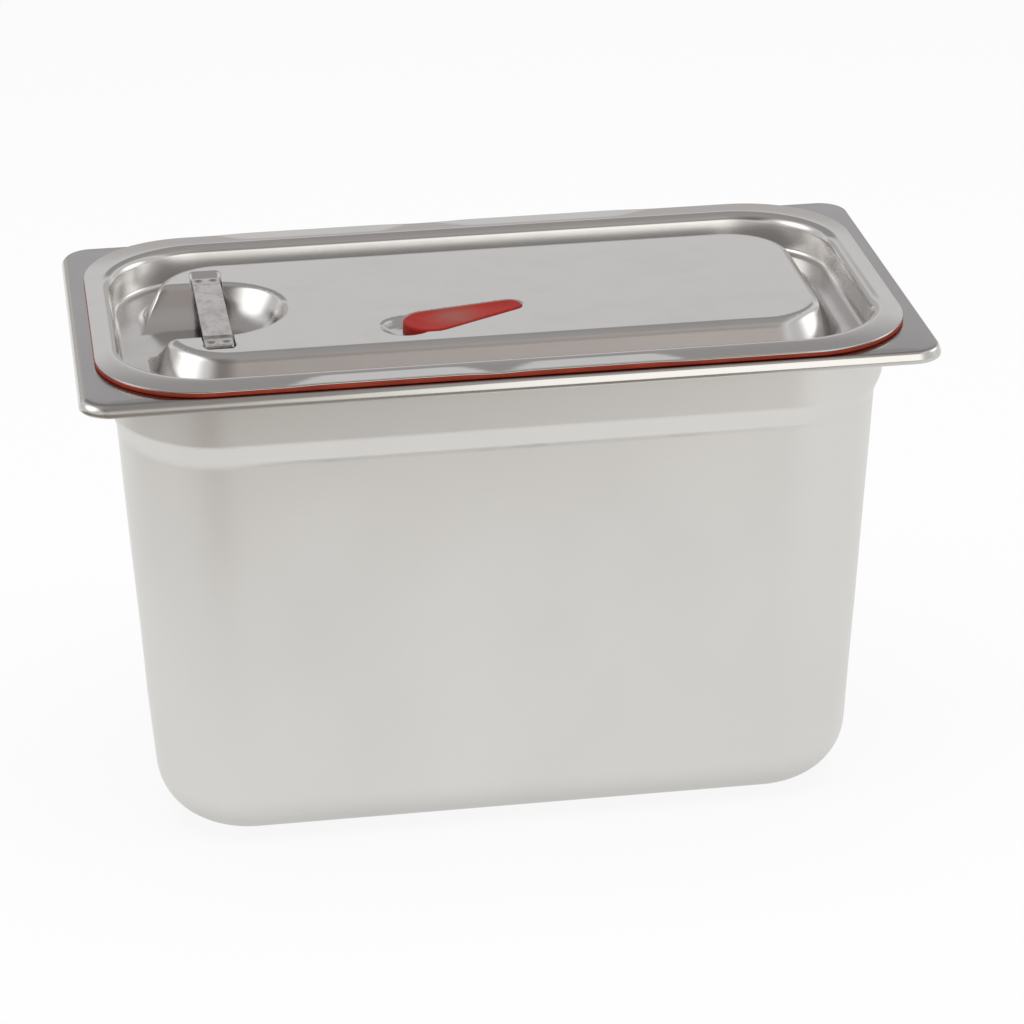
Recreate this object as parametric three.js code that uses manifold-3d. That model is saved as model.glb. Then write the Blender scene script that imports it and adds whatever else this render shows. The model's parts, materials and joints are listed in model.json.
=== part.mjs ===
// A third-size steel hotel pan, 200 mm deep, with a press-in lid that seals on a silicone ring.
// Millimetres, +Z up. The origin is the middle of the pan's footprint, on the surface that it stands on.

import * as THREE from 'three';
import { mergeVertices } from 'three/addons/utils/BufferGeometryUtils.js';
import Module from 'manifold-3d';

const wasm = await Module();
wasm.setup();

// Sheet and fits
const PAN_SHEET = 0.8;
const LID_SHEET = 0.8;
const FIT_GAP = 0.25;

// Pan: the rim, seen from above, and its turned-down lip
const RIM_LENGTH = 325;
const RIM_WIDTH = 176;
const RIM_CORNER_RADIUS = 12;
const RIM_LEDGE = 13.7;
const LIP_BEND_RADIUS = 3.2;
const LIP_DROP = 4.6;

// Pan: collar, stacking shoulder, tapered wall and floor, measured on the inside of the sheet
const PAN_HEIGHT = 200;
const COLLAR_BEND_RADIUS = 3;
const COLLAR_DEPTH = 24;
const COLLAR_CORNER_RADIUS = 40.7;
const SHOULDER_RADIUS = 8;
const SHOULDER_TURN = 35;
const WALL_TAPER = 2.97;
const FLOOR_EDGE_RADIUS = 24;
const FLOOR_CORNER_RADIUS = 37;

// Lid: the flange that covers the rim up to a bare edge, and the moat that drops into the pan
const RIM_BARE_AT_ENDS = 7.7;
const RIM_BARE_AT_SIDES = 3;
const FLANGE_CORNER_RADIUS = 42;
const FLANGE_BEND_RADIUS = 4.2;
const SEAL_SPACE = 3.2;
const MOAT_DEPTH = 13.8;
const MOAT_DRAFT = 5;
const MOAT_FILLET = 2.4;

// Lid: the raised plateau in the middle, which stands back from the pan's collar
const PLATEAU_FROM_ENDS = 26.3;
const PLATEAU_FROM_SIDES = 26.8;
const PLATEAU_CORNER_RADIUS = 21;
const PLATEAU_DROP = 0.3;
const PLATEAU_SLOPE = 60;
const PLATEAU_BEND_RADIUS = 5;
const PLATEAU_FOOT_RADIUS = 4;

// Lid: the hand scoop, a bowl at the left end of the plateau that opens into the moat
const SCOOP_FROM_END = 15.2;
const SCOOP_RIM_RADIUS = 30.5;
const SCOOP_SLOPE = 52;
const SCOOP_BEND_RADIUS = 2.6;
const SCOOP_FILLET = 4;

// Handle: a flat strap across the scoop that laps over its rim, let into two shallow seats
const STRAP_LAP = 6.5;
const STRAP_WIDTH = 11.2;
const STRAP_THICKNESS = 1.5;
const STRAP_TAB = 7.2;
const STRAP_JOGGLE = 0.6;
const JOGGLE_INSIDE_RADIUS = 0.4;
const JOGGLE_TURN = 32;
const STRAP_SINK = 0.1;
const SEAT_MARGIN = 0.4;
const SEAT_END_ROOM = 3.4;
const SEAT_SLOPE = 52;
const SEAT_INSIDE_RADIUS = 0.3;
const SEAT_CORNER_RADIUS = 1.6;

// Seal: a flat web between flange and rim, and a lipped skirt between the moat wall and the collar
const SEAL_WEB = 1.5;
const SEAL_SKIRT = 1.6;
const SEAL_SKIRT_DEPTH = 11;
const SEAL_LIPS = 2;
const SEAL_LIP_HEIGHT = 1.8;
const SEAL_LIP_PITCH = 4;

// Vent: a silicone teardrop in a recess of the plateau, turned a little from the lid's long axis
const VENT_TURN = 20.3;
const VENT_FROM_SCOOP = 81.6;
const VENT_FROM_FRONT = 19.5;
const VENT_WIDE_RADIUS = 11;
const VENT_NARROW_RADIUS = 4.3;
const VENT_SPAN = 34;
const VENT_THICKNESS = 3.8;
const VENT_RISE = 0.3;
const VENT_EDGE_ROUND = 0.7;
const VENT_HINGE_FROM_NARROW = 4.5;
const VENT_PLUG_FROM_WIDE = 13;
const VENT_PLUG_RADIUS = 4.4;
const VENT_PLUG_TAPER = 0.5;
const VENT_PLUG_DEPTH = 2.4;
const VENT_PLUG_CLEARANCE = 0.6;
const ANCHOR_STEM_RADIUS = 2.4;
const ANCHOR_BUTTON_RADIUS = 4.2;
const ANCHOR_BUTTON_HEIGHT = 1.4;
const RECESS_FINGER_ROOM = 6.6;
const RECESS_CLEARANCE = 0.6;
const RECESS_SLOPE = 78;
const RECESS_INSIDE_RADIUS = 0.3;
const DIP_RADIUS = 14;
const DIP_DEPTH = 6.2;
const DIP_FROM_WIDE = 8;

// Fineness of the facets
const CORNER_STEPS = 7;
const BEND_STEPS = 3;
const SHOULDER_STEPS = 2;
const FLOOR_STEPS = 5;
const ROUND_STEPS = 24;
const TEARDROP_STEPS = 20;

// Room that a cutting solid runs past what it cuts
const OVERRUN = 6;

// Sizes that follow from the driving ones
const collarHalfX = RIM_LENGTH / 2 - RIM_LEDGE;
const collarHalfY = RIM_WIDTH / 2 - RIM_LEDGE;
const flangeHalfX = RIM_LENGTH / 2 - RIM_BARE_AT_ENDS;
const flangeHalfY = RIM_WIDTH / 2 - RIM_BARE_AT_SIDES;
const plateauHalfX = collarHalfX - PLATEAU_FROM_ENDS;
const plateauHalfY = collarHalfY - PLATEAU_FROM_SIDES;
const flangeTop = PAN_HEIGHT + FIT_GAP + SEAL_WEB + FIT_GAP + LID_SHEET;
const moatFloor = flangeTop - MOAT_DEPTH;
const plateauTop = flangeTop - PLATEAU_DROP;
const scoopX = SCOOP_FROM_END - plateauHalfX;
const strapHalf = SCOOP_RIM_RADIUS + STRAP_LAP;

const radians = THREE.MathUtils.degToRad;

// A walk along one face of a bent sheet, in a plane where d points away from the part's middle and z up.
// The sheet lies to the left of the walk, so an offset of one sheet thickness gives its other face.
class SheetWalk {
  constructor(d, z, heading) {
    this.d = d;
    this.z = z;
    this.heading = heading;
    this.stations = [];
    this.mark();
  }

  mark() {
    const angle = radians(this.heading);
    this.stations.push({ d: this.d, z: this.z, leftD: -Math.sin(angle), leftZ: Math.cos(angle) });
  }

  line(length) {
    const angle = radians(this.heading);
    this.d += length * Math.cos(angle);
    this.z += length * Math.sin(angle);
    this.mark();
    return this;
  }

  // Turns by some degrees on an arc, to the left where they are positive
  bend(radius, degrees, steps) {
    const side = Math.sign(degrees);
    const start = radians(this.heading);
    const centreD = this.d - side * radius * Math.sin(start);
    const centreZ = this.z + side * radius * Math.cos(start);
    const firstHeading = this.heading;
    for (let step = 1; step <= steps; step += 1) {
      this.heading = firstHeading + (degrees * step) / steps;
      const angle = radians(this.heading);
      this.d = centreD + side * radius * Math.sin(angle);
      this.z = centreZ - side * radius * Math.cos(angle);
      this.mark();
    }
    return this;
  }

  offset(distance) {
    return this.stations.map((s) => ({
      d: s.d + distance * s.leftD,
      z: s.z + distance * s.leftZ,
      shift: distance * s.leftD,
      base: s.d,
    }));
  }
}

// How far a sloped wall with rounded ends runs sideways as it drops
function wallRun(drop, slope, radii) {
  const angle = radians(slope);
  const straight = drop - radii * (1 - Math.cos(angle));
  return radii * Math.sin(angle) + straight / Math.tan(angle);
}

// The length of the straight stretch of that wall
function wallStraight(drop, slope, radii) {
  const angle = radians(slope);
  return (drop - radii * (1 - Math.cos(angle))) / Math.sin(angle);
}

// A rounded rectangle, as points that run anticlockwise from the right-hand side
function roundedRectangle(halfX, halfY, radius, centreX = 0, centreY = 0) {
  const points = [];
  const corners = [[1, 1], [-1, 1], [-1, -1], [1, -1]];
  corners.forEach(([sideX, sideY], corner) => {
    for (let step = 0; step <= CORNER_STEPS; step += 1) {
      const angle = (corner + step / CORNER_STEPS) * (Math.PI / 2);
      const x = centreX + sideX * (halfX - radius) + radius * Math.cos(angle);
      const y = centreY + sideY * (halfY - radius) + radius * Math.sin(angle);
      points.push(new THREE.Vector2(x, y));
    }
  });
  return points;
}

// A channel that is round at its right-hand end and square at its left-hand end
function channel(centreX, radius, leftX) {
  const points = [new THREE.Vector2(leftX, -radius)];
  for (let step = 0; step <= ROUND_STEPS; step += 1) {
    const angle = (step / ROUND_STEPS - 0.5) * Math.PI;
    points.push(new THREE.Vector2(centreX + radius * Math.cos(angle), radius * Math.sin(angle)));
  }
  points.push(new THREE.Vector2(leftX, radius));
  return points;
}

// The vent's own axes: along is the way from its wide end to its narrow end
const ventAlong = new THREE.Vector2(Math.cos(radians(VENT_TURN)), Math.sin(radians(VENT_TURN)));
const ventWide = new THREE.Vector2(scoopX + VENT_FROM_SCOOP, VENT_FROM_FRONT - plateauHalfY);
const ventPoint = (along) => ventWide.clone().addScaledVector(ventAlong, along);

// A teardrop round two circles on the vent's axis
function teardrop(wideAt, wideRadius, narrowAt, narrowRadius) {
  const lean = Math.asin((wideRadius - narrowRadius) / (narrowAt - wideAt));
  const quarter = Math.PI / 2;
  const points = [];
  const arc = (along, radius, from, to) => {
    const centre = ventPoint(along);
    for (let step = 0; step <= TEARDROP_STEPS / 2; step += 1) {
      const angle = from + ((to - from) * step) / (TEARDROP_STEPS / 2) + radians(VENT_TURN);
      points.push(new THREE.Vector2(Math.cos(angle), Math.sin(angle)).multiplyScalar(radius).add(centre));
    }
  };
  arc(narrowAt, narrowRadius, lean - quarter, quarter - lean);
  arc(wideAt, wideRadius, quarter - lean, 3 * quarter + lean);
  return points;
}

// A stack of outlines with as many points each, skinned from the first to the last. The ends are
// capped, or the last outline joins the first where the skin closes on itself.
function skin(outlines, closesOnItself = false) {
  const count = outlines[0].length;
  const positions = outlines.flat().flatMap((p) => [p.x, p.y, p.z]);
  const index = [];
  const rows = closesOnItself ? outlines.length : outlines.length - 1;
  for (let row = 0; row < rows; row += 1) {
    const here = row * count;
    const next = ((row + 1) % outlines.length) * count;
    for (let i = 0; i < count; i += 1) {
      const j = (i + 1) % count;
      index.push(here + i, here + j, next + j);
      index.push(here + i, next + j, next + i);
    }
  }
  if (!closesOnItself) {
    const flat = (outline) => outline.map((p) => new THREE.Vector2(p.x, p.y));
    const last = (outlines.length - 1) * count;
    THREE.ShapeUtils.triangulateShape(flat(outlines[0]), []).forEach(([a, b, c]) => index.push(a, c, b));
    THREE.ShapeUtils.triangulateShape(flat(outlines.at(-1)), []).forEach(([a, b, c]) => {
      index.push(last + a, last + b, last + c);
    });
  }
  const geometry = new THREE.BufferGeometry();
  geometry.setAttribute('position', new THREE.Float32BufferAttribute(positions, 3));
  geometry.setIndex(index);
  return geometry;
}

const atHeight = (outline, z) => outline.map((p) => new THREE.Vector3(p.x, p.y, z));

function solidOf(geometry) {
  const bare = geometry.clone();
  bare.deleteAttribute('normal');
  bare.deleteAttribute('uv');
  const merged = mergeVertices(bare, 1e-4);
  return new wasm.Manifold(new wasm.Mesh({
    numProp: 3,
    vertProperties: new Float32Array(merged.attributes.position.array),
    triVerts: new Uint32Array(merged.index.array),
  }));
}

function geometryOf(solid) {
  const mesh = solid.getMesh();
  const geometry = new THREE.BufferGeometry();
  geometry.setAttribute('position', new THREE.Float32BufferAttribute(mesh.vertProperties, 3));
  geometry.setIndex(Array.from(mesh.triVerts));
  geometry.computeVertexNormals();
  return geometry;
}

function piece(name, geometry, color, roughness, metalness) {
  const mesh = new THREE.Mesh(geometry, new THREE.MeshStandardMaterial({ color, roughness, metalness }));
  mesh.name = name;
  return mesh;
}

// A round post that stands upright, from one height to another
function post(radiusLow, radiusHigh, lowZ, highZ, at) {
  const geometry = new THREE.CylinderGeometry(radiusHigh, radiusLow, highZ - lowZ, ROUND_STEPS);
  geometry.rotateX(Math.PI / 2);
  geometry.translate(at.x, at.y, (lowZ + highZ) / 2);
  return geometry;
}

// Pan body: the inner face runs from the lip's edge over the rim and down to the floor
function panBody() {
  const walk = new SheetWalk(RIM_LEDGE, PAN_HEIGHT - LIP_DROP, 90);
  walk.line(LIP_DROP - LIP_BEND_RADIUS);
  walk.bend(LIP_BEND_RADIUS, 90, BEND_STEPS);
  walk.line(RIM_LEDGE - LIP_BEND_RADIUS - COLLAR_BEND_RADIUS);
  walk.bend(COLLAR_BEND_RADIUS, 90, BEND_STEPS);
  walk.line(COLLAR_DEPTH - COLLAR_BEND_RADIUS);
  walk.bend(SHOULDER_RADIUS, -SHOULDER_TURN, SHOULDER_STEPS);
  walk.bend(SHOULDER_RADIUS, SHOULDER_TURN - WALL_TAPER, SHOULDER_STEPS);
  const taper = radians(WALL_TAPER);
  const floorRise = FLOOR_EDGE_RADIUS * (1 - Math.sin(taper));
  walk.line((walk.z - PAN_SHEET - floorRise) / Math.cos(taper));
  const floorLine = walk.d;
  walk.bend(FLOOR_EDGE_RADIUS, WALL_TAPER - 90, FLOOR_STEPS);

  const rimMiddle = (RIM_LEDGE - LIP_BEND_RADIUS + COLLAR_BEND_RADIUS) / 2;
  const cornerRadius = (d) => {
    if (d > rimMiddle) {
      return RIM_CORNER_RADIUS + d - RIM_LEDGE;
    }
    if (d > 0) {
      return COLLAR_CORNER_RADIUS + d;
    }
    if (d > floorLine) {
      return THREE.MathUtils.mapLinear(d, 0, floorLine, COLLAR_CORNER_RADIUS, FLOOR_CORNER_RADIUS);
    }
    return FLOOR_CORNER_RADIUS + d - floorLine;
  };
  const face = (distance) => walk.offset(distance).map(({ d, z, shift, base }) => {
    const radius = cornerRadius(base) + shift;
    return atHeight(roundedRectangle(collarHalfX + d, collarHalfY + d, radius), z);
  });
  const outer = face(PAN_SHEET).reverse();
  const inner = face(0);
  return skin([...outer, ...inner]);
}

// The walk down the moat's outer wall, from the flange's flat to the moat's floor
const moatWallTurn = 90 - MOAT_DRAFT;
const moatWallLine = wallStraight(MOAT_DEPTH, moatWallTurn, FLANGE_BEND_RADIUS + MOAT_FILLET);
const moatWallTop = -SEAL_SPACE - LID_SHEET;
function moatWalk() {
  const walk = new SheetWalk(moatWallTop + FLANGE_BEND_RADIUS, flangeTop, 180);
  walk.bend(FLANGE_BEND_RADIUS, moatWallTurn, BEND_STEPS);
  walk.line(moatWallLine);
  walk.bend(MOAT_FILLET, -moatWallTurn, BEND_STEPS);
  return walk;
}

// The walk up the plateau's wall, from the moat's floor to the plateau's top
const plateauHeight = plateauTop - moatFloor;
const plateauRadii = PLATEAU_BEND_RADIUS + PLATEAU_FOOT_RADIUS;
const plateauFoot = wallRun(plateauHeight, PLATEAU_SLOPE, plateauRadii);
function plateauWalk() {
  const walk = new SheetWalk(plateauFoot, moatFloor, 180);
  walk.bend(PLATEAU_FOOT_RADIUS, -PLATEAU_SLOPE, BEND_STEPS);
  walk.line(wallStraight(plateauHeight, PLATEAU_SLOPE, plateauRadii));
  walk.bend(PLATEAU_BEND_RADIUS, PLATEAU_SLOPE, BEND_STEPS);
  return walk;
}

// The walk down the wall of a hollow that is pressed into the plateau
function hollowWalk(depth, slope, bendRadius, footRadius) {
  const walk = new SheetWalk(0, plateauTop, 180);
  walk.bend(bendRadius, slope, BEND_STEPS);
  walk.line(wallStraight(depth, slope, bendRadius + footRadius));
  walk.bend(footRadius, -slope, BEND_STEPS);
  return walk;
}

const moatOutline = ({ d, z, shift, base }) => {
  const radius = COLLAR_CORNER_RADIUS + base + shift;
  return atHeight(roundedRectangle(collarHalfX + d, collarHalfY + d, radius), z);
};
const plateauOutline = ({ d, z }) => atHeight(
  roundedRectangle(plateauHalfX + d, plateauHalfY + d, PLATEAU_CORNER_RADIUS + d), z);
const flangeOutline = (grow, z) => atHeight(
  roundedRectangle(flangeHalfX + grow, flangeHalfY + grow, FLANGE_CORNER_RADIUS + grow), z);

// A hollow as a solid, from its floor up through its mouth
function hollowSolid(walk, distance, outline) {
  const wall = walk.offset(distance).reverse();
  const mouth = wall.at(-1);
  const outlines = wall.map((s) => atHeight(outline(s.d), s.z));
  outlines.push(atHeight(outline(mouth.d), mouth.z + OVERRUN));
  return solidOf(skin(outlines));
}

// Hand scoop: its floor is the moat's floor, and its left-hand end runs out into the moat
function scoopSolid(distance) {
  const walk = hollowWalk(plateauHeight, SCOOP_SLOPE, SCOOP_BEND_RADIUS, SCOOP_FILLET);
  const moatSide = collarHalfX + moatWalk().stations.at(-1).d;
  const leftX = -(plateauHalfX + plateauFoot + moatSide) / 2;
  return hollowSolid(walk, distance, (d) => channel(scoopX, SCOOP_RIM_RADIUS + d, leftX));
}

// Strap seats: two shallow pockets that open into the scoop
const seatDepth = STRAP_SINK + STRAP_JOGGLE + STRAP_THICKNESS + FIT_GAP;
function seatSolid(distance, side) {
  const bendRadius = SEAT_INSIDE_RADIUS + LID_SHEET;
  const walk = hollowWalk(seatDepth, SEAT_SLOPE, bendRadius, SEAT_INSIDE_RADIUS);
  const run = wallRun(seatDepth, SEAT_SLOPE, bendRadius + SEAT_INSIDE_RADIUS);
  const outerY = strapHalf + SEAT_END_ROOM;
  const innerY = SCOOP_RIM_RADIUS / 2;
  const halfX = STRAP_WIDTH / 2 + SEAT_MARGIN;
  const halfY = (outerY - innerY) / 2;
  const centreY = (side * (outerY + innerY)) / 2;
  return hollowSolid(walk, distance, (d) => roundedRectangle(
    halfX + run + d, halfY + run + d, SEAT_CORNER_RADIUS + run + d, scoopX, centreY));
}

// Vent recess: a teardrop pocket for the tab, with room past its wide end and a dip there for a fingertip
const ventTop = plateauTop + VENT_RISE;
const ventUnder = ventTop - VENT_THICKNESS;
const recessFloor = ventUnder - FIT_GAP;
function recessSolid(distance) {
  const depth = plateauTop - recessFloor;
  const bendRadius = RECESS_INSIDE_RADIUS + LID_SHEET;
  const walk = hollowWalk(depth, RECESS_SLOPE, bendRadius, RECESS_INSIDE_RADIUS);
  const run = wallRun(depth, RECESS_SLOPE, bendRadius + RECESS_INSIDE_RADIUS);
  const margin = RECESS_CLEARANCE - VENT_EDGE_ROUND + run;
  const flare = (VENT_WIDE_RADIUS - VENT_NARROW_RADIUS) / VENT_SPAN;
  const wide = VENT_WIDE_RADIUS + flare * RECESS_FINGER_ROOM + margin;
  const narrow = VENT_NARROW_RADIUS + margin;
  const pocket = hollowSolid(walk, distance, (d) => teardrop(
    -RECESS_FINGER_ROOM, wide + d, VENT_SPAN, narrow + d));
  const ball = new THREE.SphereGeometry(DIP_RADIUS + distance, ROUND_STEPS, ROUND_STEPS / 2);
  ball.rotateX(Math.PI / 2);
  const dip = ventPoint(-DIP_FROM_WIDE);
  ball.translate(dip.x, dip.y, plateauTop - DIP_DEPTH + DIP_RADIUS);
  return pocket.add(solidOf(ball));
}

// Everything below one face of the lid's sheet: the whole block that the press would fill
function lidBlock(distance, grow, bottom) {
  const top = flangeTop - distance;
  const outlines = [
    flangeOutline(grow, bottom),
    flangeOutline(grow, top),
    ...moatWalk().offset(distance).map(moatOutline),
    ...plateauWalk().offset(distance).map(plateauOutline),
  ];
  return solidOf(skin(outlines))
    .subtract(scoopSolid(distance))
    .subtract(seatSolid(distance, 1))
    .subtract(seatSolid(distance, -1))
    .subtract(recessSolid(distance));
}

const anchorAt = ventPoint(VENT_SPAN);
const plugAt = ventPoint(VENT_PLUG_FROM_WIDE);

// Lid shell: the block under the sheet's upper face, less the block under its lower face, and with two vent
// holes through it
function lidShell() {
  const bottom = moatFloor - LID_SHEET - OVERRUN;
  const sheet = lidBlock(0, 0, bottom).subtract(lidBlock(LID_SHEET, OVERRUN, bottom - OVERRUN));
  const hole = (radius, at) => solidOf(post(radius, radius, bottom, plateauTop + OVERRUN, at));
  const pierced = sheet
    .subtract(hole(VENT_PLUG_RADIUS + VENT_PLUG_CLEARANCE, plugAt))
    .subtract(hole(ANCHOR_STEM_RADIUS + FIT_GAP, anchorAt));
  return geometryOf(pierced);
}

// Handle: a strip that is joggled down at both ends, as sections along its length
function lidHandle() {
  const outsideRadius = JOGGLE_INSIDE_RADIUS + STRAP_THICKNESS;
  const radii = JOGGLE_INSIDE_RADIUS + outsideRadius;
  const slant = wallStraight(STRAP_JOGGLE, JOGGLE_TURN, radii);
  const span = 2 * (strapHalf - STRAP_TAB - wallRun(STRAP_JOGGLE, JOGGLE_TURN, radii));
  const walk = new SheetWalk(strapHalf, plateauTop - STRAP_SINK - STRAP_JOGGLE, 180);
  walk.line(STRAP_TAB);
  walk.bend(JOGGLE_INSIDE_RADIUS, -JOGGLE_TURN, SHOULDER_STEPS);
  walk.line(slant);
  walk.bend(outsideRadius, JOGGLE_TURN, SHOULDER_STEPS);
  walk.line(span);
  walk.bend(outsideRadius, JOGGLE_TURN, SHOULDER_STEPS);
  walk.line(slant);
  walk.bend(JOGGLE_INSIDE_RADIUS, -JOGGLE_TURN, SHOULDER_STEPS);
  walk.line(STRAP_TAB);
  const halfX = STRAP_WIDTH / 2;
  const lower = walk.offset(STRAP_THICKNESS);
  const sections = walk.offset(0).map((upper, station) => {
    const under = lower[station];
    const corners = [[-halfX, under], [halfX, under], [halfX, upper], [-halfX, upper]];
    return corners.map(([x, { d, z }]) => new THREE.Vector3(x, z, -d));
  });
  const geometry = skin(sections);
  geometry.rotateX(Math.PI / 2);
  geometry.translate(scoopX, 0, 0);
  return geometry;
}

// Seal: its inner face follows the moat's wall, and its lips reach out to the collar
function lidSeal() {
  const webTop = flangeTop - LID_SHEET - FIT_GAP;
  const webUnder = webTop - SEAL_WEB;
  const skirtEnd = flangeTop - SEAL_SKIRT_DEPTH;
  const wall = moatWalk().offset(LID_SHEET + FIT_GAP).filter((s) => s.z > skirtEnd);
  const bendEnd = wall.at(-1);
  const lean = Math.tan(radians(MOAT_DRAFT));
  const inset = (bendEnd.z - skirtEnd) * lean;
  const innerFoot = { ...bendEnd, d: bendEnd.d - inset, base: bendEnd.base - inset, z: skirtEnd };
  const outerD = bendEnd.d + SEAL_SKIRT;
  const outer = (d, z) => moatOutline({ d, z, shift: 0, base: d });
  const outlines = [
    flangeOutline(0, webUnder),
    flangeOutline(0, webTop),
    ...wall.map(moatOutline),
    moatOutline(innerFoot),
    outer(outerD, skirtEnd),
  ];
  for (let lip = 0; lip < SEAL_LIPS; lip += 1) {
    const foot = skirtEnd + lip * SEAL_LIP_PITCH;
    outlines.push(outer(-FIT_GAP, foot + SEAL_LIP_HEIGHT / 2));
    outlines.push(outer(outerD, foot + SEAL_LIP_HEIGHT));
    if (lip < SEAL_LIPS - 1) {
      outlines.push(outer(outerD, foot + SEAL_LIP_PITCH));
    }
  }
  outlines.push(outer(outerD, webUnder));
  return skin(outlines, true);
}

// The tab as one moulding, before it is parted at its bend
function ventTab() {
  const outline = teardrop(
    0, VENT_WIDE_RADIUS - VENT_EDGE_ROUND, VENT_SPAN, VENT_NARROW_RADIUS - VENT_EDGE_ROUND);
  const geometry = new THREE.ExtrudeGeometry(new THREE.Shape(outline), {
    depth: VENT_THICKNESS - 2 * VENT_EDGE_ROUND,
    bevelThickness: VENT_EDGE_ROUND,
    bevelSize: VENT_EDGE_ROUND,
    bevelSegments: 2,
  });
  geometry.translate(0, 0, ventUnder + VENT_EDGE_ROUND);
  return solidOf(geometry);
}

// A block that covers the vent's tab from a place on its axis to beyond one end
function ventHalf(from, to) {
  const size = 2 * (VENT_WIDE_RADIUS + OVERRUN);
  const block = new THREE.BoxGeometry(to - from, size, VENT_THICKNESS + 2 * OVERRUN);
  block.rotateZ(radians(VENT_TURN));
  const middle = ventPoint((from + to) / 2);
  block.translate(middle.x, middle.y, (ventTop + ventUnder) / 2);
  return solidOf(block);
}

const hingeAlong = VENT_SPAN - VENT_HINGE_FROM_NARROW;

// Flap: the wide stretch of the tab, with the plug that closes the vent hole
function ventFlap() {
  const plate = ventTab().intersect(ventHalf(-VENT_WIDE_RADIUS - OVERRUN, hingeAlong));
  const plug = post(VENT_PLUG_RADIUS - VENT_PLUG_TAPER, VENT_PLUG_RADIUS,
    ventUnder - VENT_PLUG_DEPTH, ventUnder + VENT_THICKNESS / 2, plugAt);
  return geometryOf(plate.add(solidOf(plug)));
}

// Anchor: the narrow end of the tab, with the stem and the button that hold it in the lid
function ventAnchor() {
  const end = VENT_SPAN + VENT_NARROW_RADIUS + OVERRUN;
  const pad = ventTab().intersect(ventHalf(hingeAlong + FIT_GAP, end));
  const buttonTop = recessFloor - LID_SHEET - FIT_GAP;
  const buttonUnder = buttonTop - ANCHOR_BUTTON_HEIGHT;
  const stem = post(ANCHOR_STEM_RADIUS, ANCHOR_STEM_RADIUS,
    buttonUnder + ANCHOR_BUTTON_HEIGHT / 2, ventUnder + VENT_THICKNESS / 2, anchorAt);
  const button = post(ANCHOR_STEM_RADIUS, ANCHOR_BUTTON_RADIUS, buttonUnder, buttonTop, anchorAt);
  return geometryOf(pad.add(solidOf(stem)).add(solidOf(button)));
}

const pan = new THREE.Group();
pan.add(piece('pan_body', panBody(), 0xc4c1bc, 0.42, 1));

const lid = new THREE.Group();
lid.add(piece('lid_shell', lidShell(), 0xbebcbb, 0.24, 1));
lid.add(piece('lid_handle', lidHandle(), 0xa9a6a5, 0.3, 1));
lid.add(piece('lid_seal', lidSeal(), 0x9c3a2e, 0.55, 0));
lid.add(piece('vent_anchor', ventAnchor(), 0xbe3428, 0.5, 0));
lid.add(piece('vent_flap', ventFlap(), 0xbe3428, 0.5, 0));

const hotelPan = new THREE.Group();
hotelPan.add(pan, lid);

export default hotelPan;
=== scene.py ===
# %% [markdown]
# # A hotel pan with a sealing lid
# A deep pressed steel pan hangs by its rim in a counter. A pressed lid with a red silicone ring closes
# it, and a silicone tab in the lid lets steam out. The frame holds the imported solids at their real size
# and in their place. This lesson gives them their looks: finer sheets with real bends, satin and bright
# steel, moulded silicone, and a small studio for the steel to mirror. Sizes are in millimetres, as on a
# drawing, and one factor makes them metres.

# %% Load the frame
import json
import math

import bpy
import numpy as np
from mathutils import Matrix, Vector
from mathutils.geometry import delaunay_2d_cdt


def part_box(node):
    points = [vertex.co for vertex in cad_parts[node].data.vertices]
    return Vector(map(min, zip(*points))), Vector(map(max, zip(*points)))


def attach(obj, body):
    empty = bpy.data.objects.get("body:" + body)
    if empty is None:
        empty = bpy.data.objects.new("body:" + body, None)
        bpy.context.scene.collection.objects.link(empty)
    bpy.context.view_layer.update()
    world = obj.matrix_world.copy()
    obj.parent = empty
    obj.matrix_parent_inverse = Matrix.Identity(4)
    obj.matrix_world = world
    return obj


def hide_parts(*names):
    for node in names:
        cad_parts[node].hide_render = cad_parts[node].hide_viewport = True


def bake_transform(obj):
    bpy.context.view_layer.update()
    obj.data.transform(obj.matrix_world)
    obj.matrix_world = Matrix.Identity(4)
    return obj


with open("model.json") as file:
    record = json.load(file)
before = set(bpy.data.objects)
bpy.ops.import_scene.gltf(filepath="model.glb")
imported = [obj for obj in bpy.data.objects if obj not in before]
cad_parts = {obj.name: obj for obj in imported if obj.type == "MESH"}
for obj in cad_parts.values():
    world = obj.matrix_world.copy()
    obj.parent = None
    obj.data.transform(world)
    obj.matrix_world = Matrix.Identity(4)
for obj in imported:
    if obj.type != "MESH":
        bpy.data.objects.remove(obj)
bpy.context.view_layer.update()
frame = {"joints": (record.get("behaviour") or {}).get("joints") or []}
MM = 0.001

# %% [markdown]
# ## Camera
# The picture was taken from a little above and a little to the left of the pan's long side, with a long
# lens, so the far edges are hardly smaller than the near ones. A camera can be placed by hand or pointed
# by a constraint. Here its place follows from two angles and a distance, which is how a photographer
# would note it down, and a small roll tilts it as it was held.

# %% Place the camera
CAMERA_AZIMUTH = math.radians(-8.217)
CAMERA_ELEVATION = math.radians(23.8)
CAMERA_ROLL = math.radians(-0.809)
CAMERA_DISTANCE = 1508.9
CAMERA_TARGET = Vector((8.8, 0.0, 107.56))
LENS = 132.26
SENSOR_WIDTH = 36.0

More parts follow.
